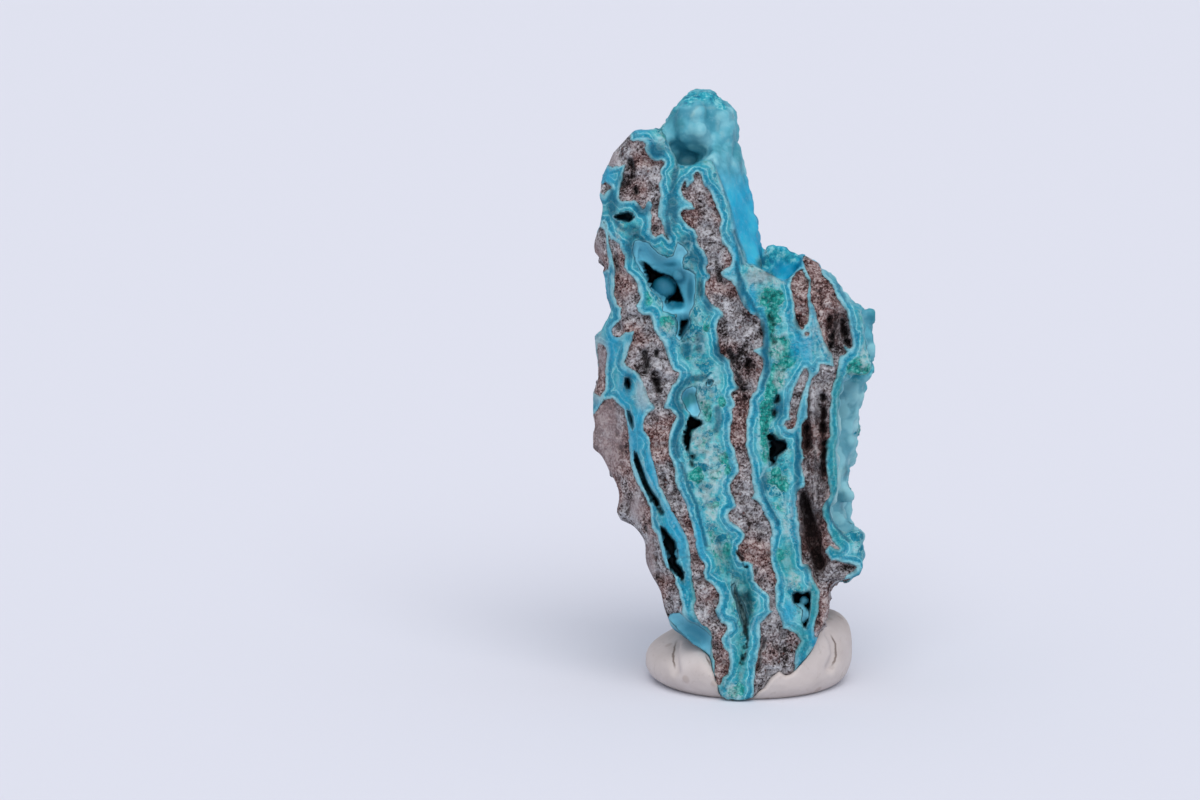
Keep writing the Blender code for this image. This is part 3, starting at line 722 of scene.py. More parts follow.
def over_lumps(places):
    """Depth of the round growths' domes at each place, in mm, and far back where there are none."""
    dome = np.full(len(places), 99.0)
    for px, py, top, radius in INNER_LUMPS:
        x, y = outline(f"{px},{py}")[0]
        flat = np.hypot(places[:, 0] - x, places[:, 1] - y) / radius
        curved = top + radius * (1 - np.sqrt(1 - np.clip(flat, 0, 1) ** 2))
        dome = np.where(flat < 1, np.minimum(dome, curved), dome)
    return dome


points = read_points(stone)
places, behind = points[:, :2], behind_face(points)
at_front = behind < 1.6 + hollow_depth(places, (BASIN, GROUND))
in_hole = at_front & (hollow_depth(places, (HOLE, CHASM)) > 0.3)
sunk_to = np.where(in_hole, hollow_depth(places), behind)
sunk_to = np.where(at_front, np.minimum(sunk_to, over_lumps(places)), behind)
points[:, 2] -= sunk_to - behind
move_points(stone, points)
print("in dark holes:", int(in_hole.sum()), "points")

# %% [markdown]
# ## Measures that the surface carries
#
# Each point now stores what it is made of: its distance to the rock, how much of it is smooth skin, and
# where the face is greener, paler or darker; some of the darker places are painted shade and one paler one
# is a painted highlight. The material reads these numbers, so a shape and its colour can't drift apart.

# %% Distances and skins
DRIFT = 3.0  # mm, how far the pattern strays behind the face

points = read_points(stone)
normals = read_points(stone, "normal")
places = points[:, :2]
behind = behind_face(points)
hollow = hollow_depth(places)

far = ease((behind - hollow - 1.5) / 7)
drifted = places + DRIFT * far[:, None] * np.column_stack([wander(points, 9, 11), wander(points, 9, 12)])
fray = 0.06 * wander(points, 0.5, 13) + 0.05 * wander(points, 1.1, 15)
rim = -np.max([inside_by(drifted, rock) for rock in ROCKS], axis=0) + fray

seen_through = ease((hollow + 1.6 - behind) / 0.5)
in_chasm = (inside_hollows(places, (CHASM,)) > -0.15) & (seen_through > 0)
rim = np.where(in_chasm, np.minimum(rim, -0.12), rim)
mouth = (inside_hollows(places, (BASIN, HOLE)) + fray + 2) * seen_through - 2
hole = inside_hollows(places, (HOLE,)) + 0.3 * fray
lump = np.clip(inside_lumps(places), -1, 1)
shaded = seen_through * np.clip(hollow / 2.2, 0, 1)
crumbly = ease(inside_hollows(places, (GROUND,)) / 0.3) * seen_through * ease(hollow - 0.6)
print("share of rock:", round(float((rim < 0).mean()), 2), "lined:", round(float((mouth > 0).mean()), 2))

off_face = inside_by(places, FACE, 3.0)
on_back = ease((behind - 9) / 2)
knob_inside = inside_by(places, KNOB) - on_back * (0.8 + 2.5 * wander(points, 3.0, 17))
knob_skin = ease(knob_inside / 0.3 + 0.8) * np.maximum(ease(-off_face / 0.25 + 0.2), ease((behind - 4) / 2))
flank_skin = ease((normals[:, 0] - 0.25) / 0.3) * ease((behind - 0.7) / 0.6) * ease((places[:, 1] - 9) / 3)
side_inside = np.maximum(inside_by(places, FLANK), inside_by(places, SHOULDER))
side_skin = ease(side_inside / 0.3 + 1) * ease(-off_face / 0.2 + 0.2)
torn = ease((wander(points, 4.0, 14) - 0.15) / 0.25) * ease((behind - 6) / 3)
skin = np.where(in_chasm, 0, np.max([knob_skin, flank_skin, side_skin], axis=0) * (1 - torn))
print("share of smooth skin:", round(float((skin > 0.5).mean()), 2))

# %% Dabs and lines of colour
def dabs(places, spots):
    """The strongest of these soft dabs at each place: column, row, half width and half height in pixels."""
    strength = np.zeros(len(places))
    for px, py, wide, high in spots:
        x, y = outline(f"{px},{py}")[0]
        away = np.hypot((places[:, 0] - x) * PX_PER_MM / wide, (places[:, 1] - y) * PX_PER_MM / high)
        strength = np.maximum(strength, ease(1.5 - away))
    return strength


def threads(places, width, lines):
    """1 on these open lines, fading to 0 beyond their half width in mm."""
    return np.max([ease(1.5 - from_line(places, line, 1.0) / width) for line in lines], axis=0)


GREEN = (
    (768, 297, 8, 9), (779, 298, 6, 8), (772, 318, 8, 16), (768, 344, 6, 18), (780, 345, 9, 10),
    (787, 358, 10, 10), (778, 372, 8, 12), (770, 398, 6, 20), (764, 420, 5, 26), (767, 448, 4, 14),
    (774, 476, 7, 8), (676, 186, 2, 6), (661, 203, 2, 16), (666, 240, 6, 5), (646, 298, 6, 8),
    (707, 322, 4, 10), (855, 368, 9, 9), (866, 376, 4, 12), (724, 458, 5, 7), (728, 470, 4, 6),
    (716, 474, 5, 4), (692, 398, 5, 6), (665, 322, 6, 9), (697, 475, 6, 8), (727, 548, 5, 8),
    (778, 555, 5, 8), (782, 484, 6, 8), (736, 690, 8, 6), (692, 612, 5, 10), (714, 505, 6, 4),
    (690, 428, 3, 6), (708, 412, 4, 8), (704, 405, 4, 5), (686, 402, 4, 6), (799, 320, 3, 6),
    (722, 402, 4, 6),
)
# Paler dabs: paler stone, and a painted highlight on the right flank at column 858, row 396.
PALE_AND_HIGHLIGHT = (
    (597, 330, 6, 14), (592, 372, 6, 20), (764, 276, 12, 5), (756, 274, 7, 6), (768, 278, 7, 5),
    (820, 330, 5, 14), (824, 350, 5, 10), (858, 396, 5, 14), (852, 480, 6, 30), (752, 278, 5, 14),
    (760, 272, 12, 4), (779, 281, 6, 4), (643, 392, 8, 15), (618, 234, 3, 7), (699, 441, 9, 13),
    (705, 394, 7, 7), (712, 455, 10, 8), (706, 493, 9, 10), (716, 478, 8, 10), (781, 378, 7, 10),
    (776, 350, 7, 8), (788, 520, 5, 20), (792, 578, 8, 9), (806, 342, 5, 12), (826, 356, 5, 8),
    (812, 326, 3, 9), (840, 480, 3, 34), (844, 525, 3, 10), (639, 500, 4, 9), (636, 512, 5, 10),
    (698, 613, 4, 5), (728, 690, 9, 8), (704, 398, 6, 10), (666, 330, 7, 7), (798, 288, 4, 8),
    (850, 380, 6, 8), (863, 356, 5, 12), (711, 514, 7, 10), (721, 560, 5, 7), (717, 548, 7, 6),
    (816, 400, 4, 22), (815, 440, 3, 26), (815, 490, 3, 24), (707, 612, 3, 6), (812, 588, 4, 10),
    (826, 612, 5, 20), (606, 440, 6, 24), (640, 510, 5, 10), (611, 152, 4, 8), (705, 583, 4, 7),
    (658, 368, 4, 8),
)
# Darker dabs: darker stone and rock, and painted shade in the knob's gap above the face and in the right
# vein's chasm.
DARK_AND_SHADE = (
    (741, 372, 7, 26), (722, 338, 5, 20), (748, 366, 9, 10), (806, 438, 5, 16), (807, 512, 6, 18),
    (815, 535, 10, 26), (814, 562, 10, 12), (806, 545, 6, 16), (830, 337, 4, 18), (845, 328, 4, 17),
    (838, 350, 8, 5), (799, 320, 5, 9), (823, 430, 3, 30), (628, 182, 8, 12), (640, 366, 5, 9),
    (655, 378, 4, 8), (848, 567, 7, 4), (784, 652, 6, 12), (700, 288, 3, 10), (744, 395, 4, 12),
    (820, 300, 4, 10), (762, 330, 3, 10), (747, 605, 6, 16), (776, 446, 7, 12), (687, 162, 10, 3),
    (762, 262, 6, 5), (772, 272, 7, 4), (846, 470, 4, 7),
)
SKY = (
    (612, 344, 7, 18), (600, 420, 4, 16), (625, 388, 8, 18), (636, 432, 9, 26), (652, 470, 8, 24),
    (674, 530, 12, 34), (690, 632, 16, 12), (605, 176, 9, 9), (640, 128, 10, 5), (737, 230, 6, 34),
    (700, 540, 5, 30), (752, 300, 4, 16), (806, 350, 8, 12), (796, 348, 7, 12), (604, 296, 4, 24),
    (790, 610, 7, 10), (818, 640, 8, 14), (798, 258, 10, 10),
)
# Deep blue dabs; those on cavity A's sphere and funnel are painted shade.
DEEP_AND_SHADE = (
    (663, 288, 9, 9), (628, 382, 5, 10), (708, 300, 5, 14), (700, 262, 4, 10), (722, 352, 4, 10),
    (685, 399, 6, 10), (692, 634, 18, 14), (680, 276, 6, 7), (682, 318, 9, 5), (683, 328, 6, 12),
    (690, 290, 3, 12), (656, 150, 9, 8), (642, 209, 8, 6), (740, 290, 4, 14), (746, 312, 4, 14),
    (765, 350, 4, 30), (686, 348, 6, 10), (700, 342, 5, 12), (718, 350, 6, 8), (612, 205, 5, 14),
    (634, 232, 8, 8), (694, 256, 7, 10), (688, 240, 8, 7), (778, 408, 6, 14), (668, 228, 4, 10),
    (674, 210, 4, 18), (764, 482, 4, 14), (797, 470, 3, 40), (630, 246, 5, 12), (742, 318, 4, 14),
)
TEAL = (
    (837, 395, 6, 30), (831, 440, 6, 26), (832, 480, 6, 26), (826, 508, 5, 14), (836, 540, 9, 14),
    (696, 585, 6, 30), (710, 632, 6, 26), (722, 668, 8, 22), (724, 560, 8, 14), (746, 600, 7, 30),
    (740, 660, 6, 26), (786, 560, 10, 16), (814, 600, 6, 26), (800, 640, 10, 14),
)
CHALK = ((643, 394, 8, 15), (600, 352, 8, 14), (597, 386, 6, 16), (758, 277, 14, 6))
# Dark streaks in the right vein's rock: darker rock, and painted shade of its grooves.
STREAK = (
    (806, 430, 8, 40), (816, 470, 9, 70), (808, 520, 9, 40), (824, 440, 5, 50), (820, 560, 10, 14),
    (838, 320, 8, 24),
)
DUST = (
    (608, 436, 16, 40), (637, 508, 8, 12), (650, 560, 5, 26), (612, 158, 6, 7), (598, 252, 5, 14),
    (602, 360, 4, 14),
)
CRUST = (
    (700, 95, 12, 6), (714, 97, 9, 7), (688, 99, 7, 6), (722, 104, 5, 6), (774, 252, 10, 9),
    (790, 255, 12, 8), (766, 262, 8, 8), (856, 372, 9, 9), (868, 366, 8, 9),
)
PALE_LINES = [outline(text) for text in (
    "642,137 658,141 669,148 675,158 675,167", "716,170 722,190 728,208 733,232 740,250 746,268",
    "694,272 694,290 694,304 689,316 680,332 678,341", "684,327 690,336 696,330",
    "680,343 690,340 692,347 690,360 699,357 704,350 703,344 695,341",
    "673,256 680,247 686,240 692,243 690,250 683,254", "683,262 690,268 695,272",
    "659,302 668,309 675,309 677,318 673,330 679,343",
    "704,382 693,384 686,388 682,392 680,398 686,407 691,415 687,424 683,432 682,440 686,452",
    "704,382 711,375 716,372 717,377 715,386 713,391 714,402 709,411 705,418 711,428",
    "697,387 696,396 699,406 703,416",
    "690,120 697,105 706,106 714,107 718,110 718,118 718,128 723,137 734,144",
    "640,450 645,470 655,490 663,505 674,527", "812,318 817,330 822,344 831,358 833,366 823,365",
    "812,318 814,340 816,356", "801,329 810,345 812,362",
    "836,398 838,420 841,436 836,448 838,470 838,490 832,504", "787,424 793,431 797,420",
    "760,478 768,462 764,448", "716,600 722,618 728,632 731,650 729,668 724,684",
    "757,590 760,606 753,622 748,640 745,660", "840,306 849,330 851,352",
)]
WIDE_DEEP_LINES = [outline(text) for text in (
    "706,377 692,378 683,383 676,393 675,401 680,410 682,421 677,432 675,442 677,455",
    "717,408 719,420 716,430", "676,168 674,180 671,196 668,214", "735,232 738,246 742,262",
)]
DEEP_LINES = [outline(text) for text in (
    "681,463 688,485 696,504 701,525 706,545", "738,272 744,290 752,303 758,316",
    "612,190 610,205 614,218 621,228 634,232 644,240", "766,352 769,368 763,385",
    "736,262 739,280 744,292", "826,500 832,520 840,532 848,540", "797,440 800,460 799,474",
    "765,498 772,510 778,524",
)]
WALL_SHADE = (
    (682, 328, 8, 12), (646, 278, 6, 12), (676, 262, 14, 4), (692, 292, 3, 14), (674, 306, 14, 5),
    (687, 406, 5, 12), (684, 396, 3, 10),
)
WALL_LIGHT = ((662, 252, 14, 9), (686, 250, 7, 7), (710, 394, 5, 8), (678, 621, 9, 6))
near = 1 - far
TINTS = (
    ("green", GREEN), ("pale", PALE_AND_HIGHLIGHT), ("dark", DARK_AND_SHADE), ("sky", SKY), ("deep", DEEP_AND_SHADE), ("teal", TEAL),
    ("chalk", CHALK), ("streak", STREAK), ("dust", DUST),
)
tints = {name: dabs(places, spots) * near for name, spots in TINTS}
tints["thread"] = threads(places, 0.07, PALE_LINES) * near * (0.55 + 0.45 * wander(points, 0.8, 16))
tints["deep"] = np.maximum(tints["deep"], threads(places, 0.16, DEEP_LINES) * near)
tints["deep"] = np.maximum(tints["deep"], threads(places, 0.26, WIDE_DEEP_LINES) * near)
tints["crust"] = dabs(places, CRUST) * ease(skin)
flank_x, flank_top = outline("820,330")[0]
knob_green = np.maximum(ease((places[:, 1] - 41.5) / 3), ease((places[:, 0] - flank_x) / 0.5)) * ease(skin)
on_flank = ease((places[:, 0] - flank_x) / 1.0) * ease((flank_top - places[:, 1]) / 6)
tints["flank"] = on_flank * ease(skin)
print("tints:", {name: round(float(values.mean()), 2) for name, values in tints.items()})

# %% [markdown]
# ## Relief of the broken face
#
# Rock crumbles out between the layers, so it lies a little lower and is pitted all over. The layers break
# with a crisp pale lip. These heights are small, mostly under 0.3 mm, and they are added along the depth
# on the face and along the normal elsewhere.

# %% Press the relief into the points
CLEFTS = [(depth, width, outline(text)) for depth, width, text in (
    # depth and half width in mm, and the line
    (1.0, 0.26, "655,352 652,362 654,374 658,386 661,394"),
    (0.9, 0.20, "653,500 657,504 661,512"),
    (0.9, 0.18, "682,579 684,588"),
    (0.8, 0.18, "692,456 692,464"),
    (0.5, 0.17, "769,314 773,324 771,332 774,342"),
    (1.0, 0.18, "778,396 776,404 774,414"),
    (1.0, 0.22, "823,396 824,412 822,426 825,442 823,456 824,474"),
    (1.0, 0.26, "728,350 733,360 737,368 741,377 743,388"),
    (0.9, 0.22, "748,360 745,372 748,382"),
    (1.0, 0.16, "741,664 744,654 746,640 745,626"),
    (0.8, 0.20, "644,352 647,362 645,372"),
    (0.9, 0.24, "829,318 832,330 830,346"),
    (0.9, 0.24, "842,320 845,332 848,344"),
    (0.8, 0.14, "746,566 741,556 737,552"),
    (0.7, 0.14, "764,640 760,654 757,670"),
    (0.8, 0.20, "630,160 634,170 632,182 636,192"),
    (0.7, 0.18, "716,262 720,280 724,296"),
)]


def lobes(points, size):
    """1 on top of round lobes about this many mm wide, 0 in the creases between them."""
    nearest = np.array([noise.voronoi(Vector(point) / size)[0][0] for point in points])
    return np.clip(1 - (nearest / 0.7) ** 2, 0, 1)


rock = ease(0.5 - rim / 0.12)
lining = ease(mouth / 0.12)
blue = (1 - rock) * (1 - lining)
face = near * (1 - ease((behind - hollow - 1.0) / 1.0))
rough = (1 - 0.85 * skin) * (1 - 0.8 * lining) * (1 - 0.5 * tints["dust"])

print("noise on", len(points), "points")
broad = 0.32 * wander(points, 5.0, 21, 2)
grains = wander(points, 0.42, 22, 2)
crumbs = wander(points, 0.9, 23, 3)
filigree = np.abs(wander(points, 0.8, 24, 3))
sunk = rock * (0.26 + 0.17 * grains + 0.30 * crumbs + 0.5 * np.clip(crumbs - 0.2, 0, None))
sunk -= blue * 0.08 * np.exp(-(((rim - 0.10) / 0.10) ** 2))
core = ease((rim - 1.0) / 0.6)
sunk += blue * (0.05 * grains + core * (0.6 * filigree - 0.12))
sunk += 0.3 * tints["dark"] * rock + crumbly * 0.5 * crumbs - 0.06 * tints["thread"]
sunk = sunk * rough

lobed = np.zeros(len(points))
grown = skin > 0.05
lobed[grown] = lobes(points[grown], 1.15)
lobe_height = 0.55 - 0.47 * ease(inside_by(places, KNOB) + 0.5)
lobe_height += 0.14 * ease((places[:, 1] - 43) / 2)
rise = skin * (lobe_height * (lobed - 0.5) + 0.4 * tints["crust"] * (filigree - 0.35))
chasm_inside = inside_hollows(places, (CHASM,)) + 2 * fray
chasm = ease(chasm_inside / 0.3) * ease(0.9 + 1.2 * wander(points, 0.5, 27))
pits = ease(0.75 + 1.8 * wander(points, 0.8, 25))
ragged = 0.6 + 0.4 * np.clip(1 + wander(points, 0.4, 26), 0, 2)
cuts = [depth * ease(1.5 - from_line(places, line) / (width * ragged)) for depth, width, line in CLEFTS]
cleft = pits * np.max(cuts, axis=0)

along_depth = (sunk + broad * rough) * face + cleft * face
along_normal = sunk * (1 - face)
points[:, 2] -= along_depth
points -= (along_normal - rise)[:, None] * normals
move_points(stone, points)
print("deepest relief on the face:", round(float(along_depth.max()), 2), "mm")

# %% Store the measures
def store(obj, name, values):
    obj.data.attributes.new(name, "FLOAT", "POINT").data.foreach_set("value", values.astype(np.float32))


# Painted shade on the walls of the hollows: darker with depth, darker still under WALL_SHADE, and lighter
# under WALL_LIGHT, which is painted light.
wall_shading = np.clip((behind - 0.5) / 4.5, 0, 1)
wall_shading += 0.24 * dabs(places, WALL_SHADE)
wall_shading -= 0.2 * dabs(places, WALL_LIGHT)
wall_shading *= lining
for name, values in (
    ("rim", rim), ("skin", skin), ("knob", knob_green), ("mouth", mouth), ("hole", hole), ("lump", lump),
    ("shaded", shaded), ("wall_shading", wall_shading), ("crumbly", crumbly),
    ("cleft", np.maximum(ease(cleft), chasm)), ("lobe", lobed), *tints.items(),
):
    store(stone, name, values)

world = to_world(read_points(stone)) * MM
low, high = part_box("hemimorphite_stone")
outside = np.maximum(np.array(low) - world, world - np.array(high)).max()
print("past the solid's box by", round(float(outside) / MM, 2), "mm before the points are held inside it")
move_points(stone, np.clip(world, np.array(low), np.array(high)))
only(stone)
bpy.ops.object.shade_smooth()
print("stone:", count_triangles(stone), "triangles")

# %% [markdown]
# ## The putty
#
# A disc of soft putty, pinched by fingers: rounded rims, a tilted top and three creases at the front. A
# sphere is pressed into that shape, and a pocket for the stone is then cut out of it with a Boolean, from a
# slightly swollen copy of the foot.

# %% Model the putty
PUTTY_RADIUS, PUTTY_HEIGHT, PUTTY_SLOPE = 8.8, 4.9, 0.16
CREASES = [outline(text) for text in (
    "678,634 675,644 673,656 675,670", "829,632 835,643 836,655 831,668", "704,652 708,660 712,668",
)]
CREASE_DEPTH, CREASE_WIDTH = 0.5, 0.35  # mm
POCKET_BEHIND_FACE, POCKET_GAP = 1.4, 0.05  # mm

bpy.ops.object.select_all(action="DESELECT")
bpy.ops.mesh.primitive_uv_sphere_add(segments=320, ring_count=110, radius=1)
putty = bpy.context.object
putty.name = putty.data.name = "putty_disc"
x, y, z = read_points(putty).T
around = np.hypot(x, y)
angle = np.arctan2(y, x)
spread = around**0.42 * PUTTY_RADIUS / np.maximum(around, 1e-6)
x, y = x * spread, y * spread
z = np.where(z > 0, 2.0 + (PUTTY_HEIGHT - 2.0) * np.abs(z) ** 0.8, 2.0 - 2.6 * np.abs(z) ** 0.8)
z = np.clip(z, 0, None)
raised = ease(z / PUTTY_HEIGHT)
wavy = 1 + raised * (0.025 * np.sin(3 * angle + 0.6) + 0.015 * np.sin(5 * angle)) - 0.012
points = np.column_stack([x * wavy, y * wavy, z + raised * (PUTTY_SLOPE * x - 0.02 * y)])
on_sheet = to_sheet(points)
front = ease(-points[:, 1] / 2 - 0.5)
dent = np.zeros(len(points))
for crease in CREASES:
    off_line = from_line(on_sheet[:, :2], crease)
    dent = np.maximum(dent, CREASE_DEPTH * np.exp(-((off_line / CREASE_WIDTH) ** 2)))
dent = dent * front
outwards = points / np.maximum(np.linalg.norm(points, axis=1), 1e-6)[:, None]
dimples = 0.07 * wander(points, 2.2, 31) * ease(z / 0.6)
points += (dimples - dent)[:, None] * outwards * (1, 1, 0)

on_sheet = to_sheet(points)
pressed = ease((inside_by(on_sheet[:, :2], FACE) + 0.1) / 0.5) * front
depth = -on_sheet[:, 2]
wanted = face_front(on_sheet[:, 0], on_sheet[:, 1]) + POCKET_BEHIND_FACE
on_sheet[:, 2] = -(depth + pressed * np.clip(wanted - depth, 0, None))
points = to_world(on_sheet)
low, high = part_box("putty_base")
points = np.clip(points * MM, np.array(low), np.array(high))
move_points(putty, points)

foot = bpy.data.objects.new("foot", stone.data.copy())
bpy.context.scene.collection.objects.link(foot)
move_points(foot, read_points(foot) + POCKET_GAP * MM * read_points(foot, "normal"))
only(foot)
bpy.ops.object.mode_set(mode="EDIT")
bpy.ops.mesh.select_all(action="SELECT")
bpy.ops.mesh.bisect(plane_co=(0, 0, 0.009), plane_no=(0, 0, 1), use_fill=True, clear_outer=True)
bpy.ops.object.mode_set(mode="OBJECT")
remeshed(foot, 0.25 * MM)
modified(putty, "BOOLEAN", operation="DIFFERENCE", object=foot, solver="MANIFOLD")
bpy.data.objects.remove(foot)
points = read_points(putty)
on_sheet = to_sheet(points / MM)
front = ease(-points[:, 1] / MM / 2 - 0.5)
for number, crease in enumerate(CREASES):
    offset = on_sheet[:, 0] - np.interp(-on_sheet[:, 1], -crease[:, 1], crease[:, 0])
    ends = ease((crease[0, 1] - on_sheet[:, 1]) / 0.6) * ease((on_sheet[:, 1] - crease[-1, 1]) / 0.6)
    store(putty, f"offset_{number}", np.clip(offset, -2, 2))
    store(putty, f"ends_{number}", ends * front)
print("putty:", count_triangles(putty), "triangles")

# %% [markdown]
# ## Materials
#
# Small helpers add nodes and feed their sockets, which keeps each recipe readable from top to bottom. Tones
# are written as a paint program names them, and paint() turns them into light.

# %% Helpers for node trees
NOISE_LUMP = 0.7  # how wide a lump of Blender's noise is when its scale is 1


def feed(tree, socket, value):
    """Gives a socket its value, or the output that feeds it."""
    if isinstance(value, bpy.types.NodeSocket):
        tree.links.new(value, socket)
    else:
        socket.default_value = value


def put(tree, kind, settings=None, **sockets):
    """Adds a node. Its sockets go by name, or by their place as i0, i1 and so on."""
    made = tree.nodes.new("ShaderNode" + kind)
    for key, value in (settings or {}).items():
        setattr(made, key, value)
    for key, value in sockets.items():
        by_place = key[0] == "i" and key[1:].isdigit()
        feed(tree, made.inputs[int(key[1:]) if by_place else key.replace("_", " ")], value)
    return made


def maths(tree, operation, first, second=0.0, third=0.0):
    return put(tree, "Math", {"operation": operation}, i0=first, i1=second, i2=third).outputs[0]


def times(tree, first, second):
    return maths(tree, "MULTIPLY", first, second)


def plus(tree, first, second):
    return maths(tree, "ADD", first, second)


def scaled(tree, value, factor, added):
    """The value times a factor, and something added."""
    return maths(tree, "MULTIPLY_ADD", value, factor, added)


def rest_of(tree, share):
    return maths(tree, "SUBTRACT", 1.0, share)


def clamped(tree, value, low, high):
    """0 where the value is at low, 1 where it is at high, smooth between."""
    smooth = {"interpolation_type": "SMOOTHSTEP"}
    return put(tree, "MapRange", smooth, Value=value, From_Min=low, From_Max=high).outputs[0]


def grain(tree, where, size, detail=2.0, roughness=0.5):
    """Noise whose lumps are this many mm across."""
    scale = NOISE_LUMP / (size * MM)
    made = put(tree, "TexNoise", None, Vector=where, Scale=scale, Detail=detail, Roughness=roughness)
    return made.outputs["Fac"]


def clouds(tree, where, size, detail, roughness, low, high):
    """Noise as clouds: 0 between them and 1 within them."""
    return clamped(tree, grain(tree, where, size, detail, roughness), low, high)


def blend(tree, share, first, second):
    return put(tree, "Mix", {"data_type": "RGBA"}, i0=share, i6=first, i7=second).outputs[2]


def blend_values(tree, share, first, second):
    return put(tree, "Mix", {"data_type": "FLOAT"}, i0=share, i2=first, i3=second).outputs[0]


def tinted(tree, share, strength, colour, tone):
    """Lays a tone over a colour, as strongly as the share times the strength."""
    return blend(tree, times(tree, share, strength), colour, paint(*tone))


def ramp(tree, share, tones):
    """A colour ramp from rows of a position and its tone."""
    made = put(tree, "ValToRGB", None, Fac=share)
    stops = made.color_ramp.elements
    while len(stops) < len(tones):
        stops.new(1)
    for stop, (position, tone) in zip(stops, tones):
        stop.position = position
        stop.color = paint(*tone)
    return made.outputs["Color"]


def new_group(name, inputs, outputs):
    """A node group with these named sockets, its tree, and the nodes where they enter and leave."""
    tree = bpy.data.node_groups.new(name, "ShaderNodeTree")
    for in_out, sockets in (("INPUT", inputs), ("OUTPUT", outputs)):
        for label, kind in sockets:
            tree.interface.new_socket(name=label, in_out=in_out, socket_type="NodeSocket" + kind)
    return tree, tree.nodes.new("NodeGroupInput"), tree.nodes.new("NodeGroupOutput")


def use_group(tree, group, **sockets):
    made = tree.nodes.new("ShaderNodeGroup")
    made.node_tree = group
    for key, value in sockets.items():
        feed(tree, made.inputs[key], value)
    return made


def new_material(name):
    made = bpy.data.materials.new(name)
    made.use_nodes = True
    return made, made.node_tree, made.node_tree.nodes["Principled BSDF"]


COLOUR_AND_HEIGHT = [("Color", "Color"), ("Height", "Float")]

# %% [markdown]
# ### Specks
#
# Rock and putty both show tiny specks of another colour. The group gives a mask of them at any size.

# %% Group: specks
specks, enters, leaves = new_group(
    "Specks", [("Vector", "Vector"), ("Scale", "Float"), ("Amount", "Float")], [("Mask", "Float")]
)
cells = put(specks, "TexVoronoi", None, Vector=enters.outputs["Vector"], Scale=enters.outputs["Scale"])
chance = put(specks, "SeparateColor", None, Color=cells.outputs["Color"]).outputs[0]
few = maths(specks, "LESS_THAN", chance, enters.outputs["Amount"])
round_spot = clamped(specks, cells.outputs["Distance"], 0.45, 0.25)
specks.links.new(times(specks, few, round_spot), leaves.inputs["Mask"])

# %% [markdown]
# ### Bands
#
# From the rock outwards come a pale lip, deep blue, a thin pale line, teal, and more lines. A colour ramp
# over the distance draws them all. Noise on the distance makes them swell and pinch.

# %% Group: growth bands
BAND_REACH = 2.4  # mm, the distance at the ramp's right end
FINE_LINE = 0.15  # mm, from one fine line to the next
BANDS = (
    # distance in mm, and the tone there
    (0.00, (124, 174, 186)), (0.07, (156, 212, 222)), (0.20, (128, 202, 218)), (0.28, (60, 170, 196)),
    (0.36, (22, 134, 164)), (0.52, (24, 146, 176)), (0.60, (66, 176, 198)), (0.66, (146, 214, 222)),
    (0.73, (66, 176, 194)), (0.90, (34, 158, 182)), (1.06, (76, 182, 196)), (1.13, (144, 214, 218)),
    (1.22, (70, 178, 190)), (1.50, (42, 164, 176)), (1.70, (86, 188, 190)), (1.80, (146, 214, 212)),
    (1.92, (70, 180, 184)), (2.40, (92, 190, 192)),
)
bands, enters, leaves = new_group(
    "Growth bands", [("Vector", "Vector"), ("Distance", "Float")], COLOUR_AND_HEIGHT
)
where = enters.outputs["Vector"]
swell = times(bands, grain(bands, where, 2.0, 2), 2.0)
stretched = times(bands, enters.outputs["Distance"], swell)
wiggle = scaled(bands, grain(bands, where, 0.5, 3), 0.22, -0.11)
position = maths(bands, "DIVIDE", plus(bands, stretched, wiggle), BAND_REACH)
colour = ramp(bands, position, [(distance / BAND_REACH, tone) for distance, tone in BANDS])
lines = maths(bands, "SINE", times(bands, position, 2 * math.pi * BAND_REACH / FINE_LINE))
faint = times(bands, clouds(bands, where, 1.2, 2, 0.5, 0.4, 0.65), 0.2)
lighter = times(bands, scaled(bands, lines, 0.5, 0.5), faint)
colour = blend(bands, lighter, colour, paint(156, 212, 222))
colour = tinted(bands, clouds(bands, where, 1.5, 3, 0.6, 0.5, 0.72), 0.65, colour, (4, 118, 156))
mottle = clouds(bands, where, 0.2, 3, 0.7, 0.5, 0.72)
colour = tinted(bands, mottle, 0.4, colour, (164, 214, 226))
colour = tinted(bands, clouds(bands, where, 2.4, 3, 0.6, 0.48, 0.66), 0.3, colour, (104, 190, 206))
bands.links.new(colour, leaves.inputs["Color"])
bands.links.new(scaled(bands, lines, 0.2, mottle), leaves.inputs["Height"])

# %% [markdown]
# ### The variegated core
#
# Farthest from the rock the bands break up into a lace of pale threads round green and teal spots. Each
# patch is a noise cut off at a level, and its thread is the narrow strip where the noise crosses it.

# %% Group: lace
def patches(tree, noise_value, level, colour, inside, line_tone):
    """Paints the inside colour where the noise is above the level, and a thin line round it."""
    colour = blend(tree, clamped(tree, noise_value, level, level + 0.06), colour, inside)
    off_level = maths(tree, "ABSOLUTE", maths(tree, "SUBTRACT", noise_value, level))
    line = clamped(tree, off_level, 0.018, 0.006)
    return tinted(tree, line, 0.7, colour, line_tone), line


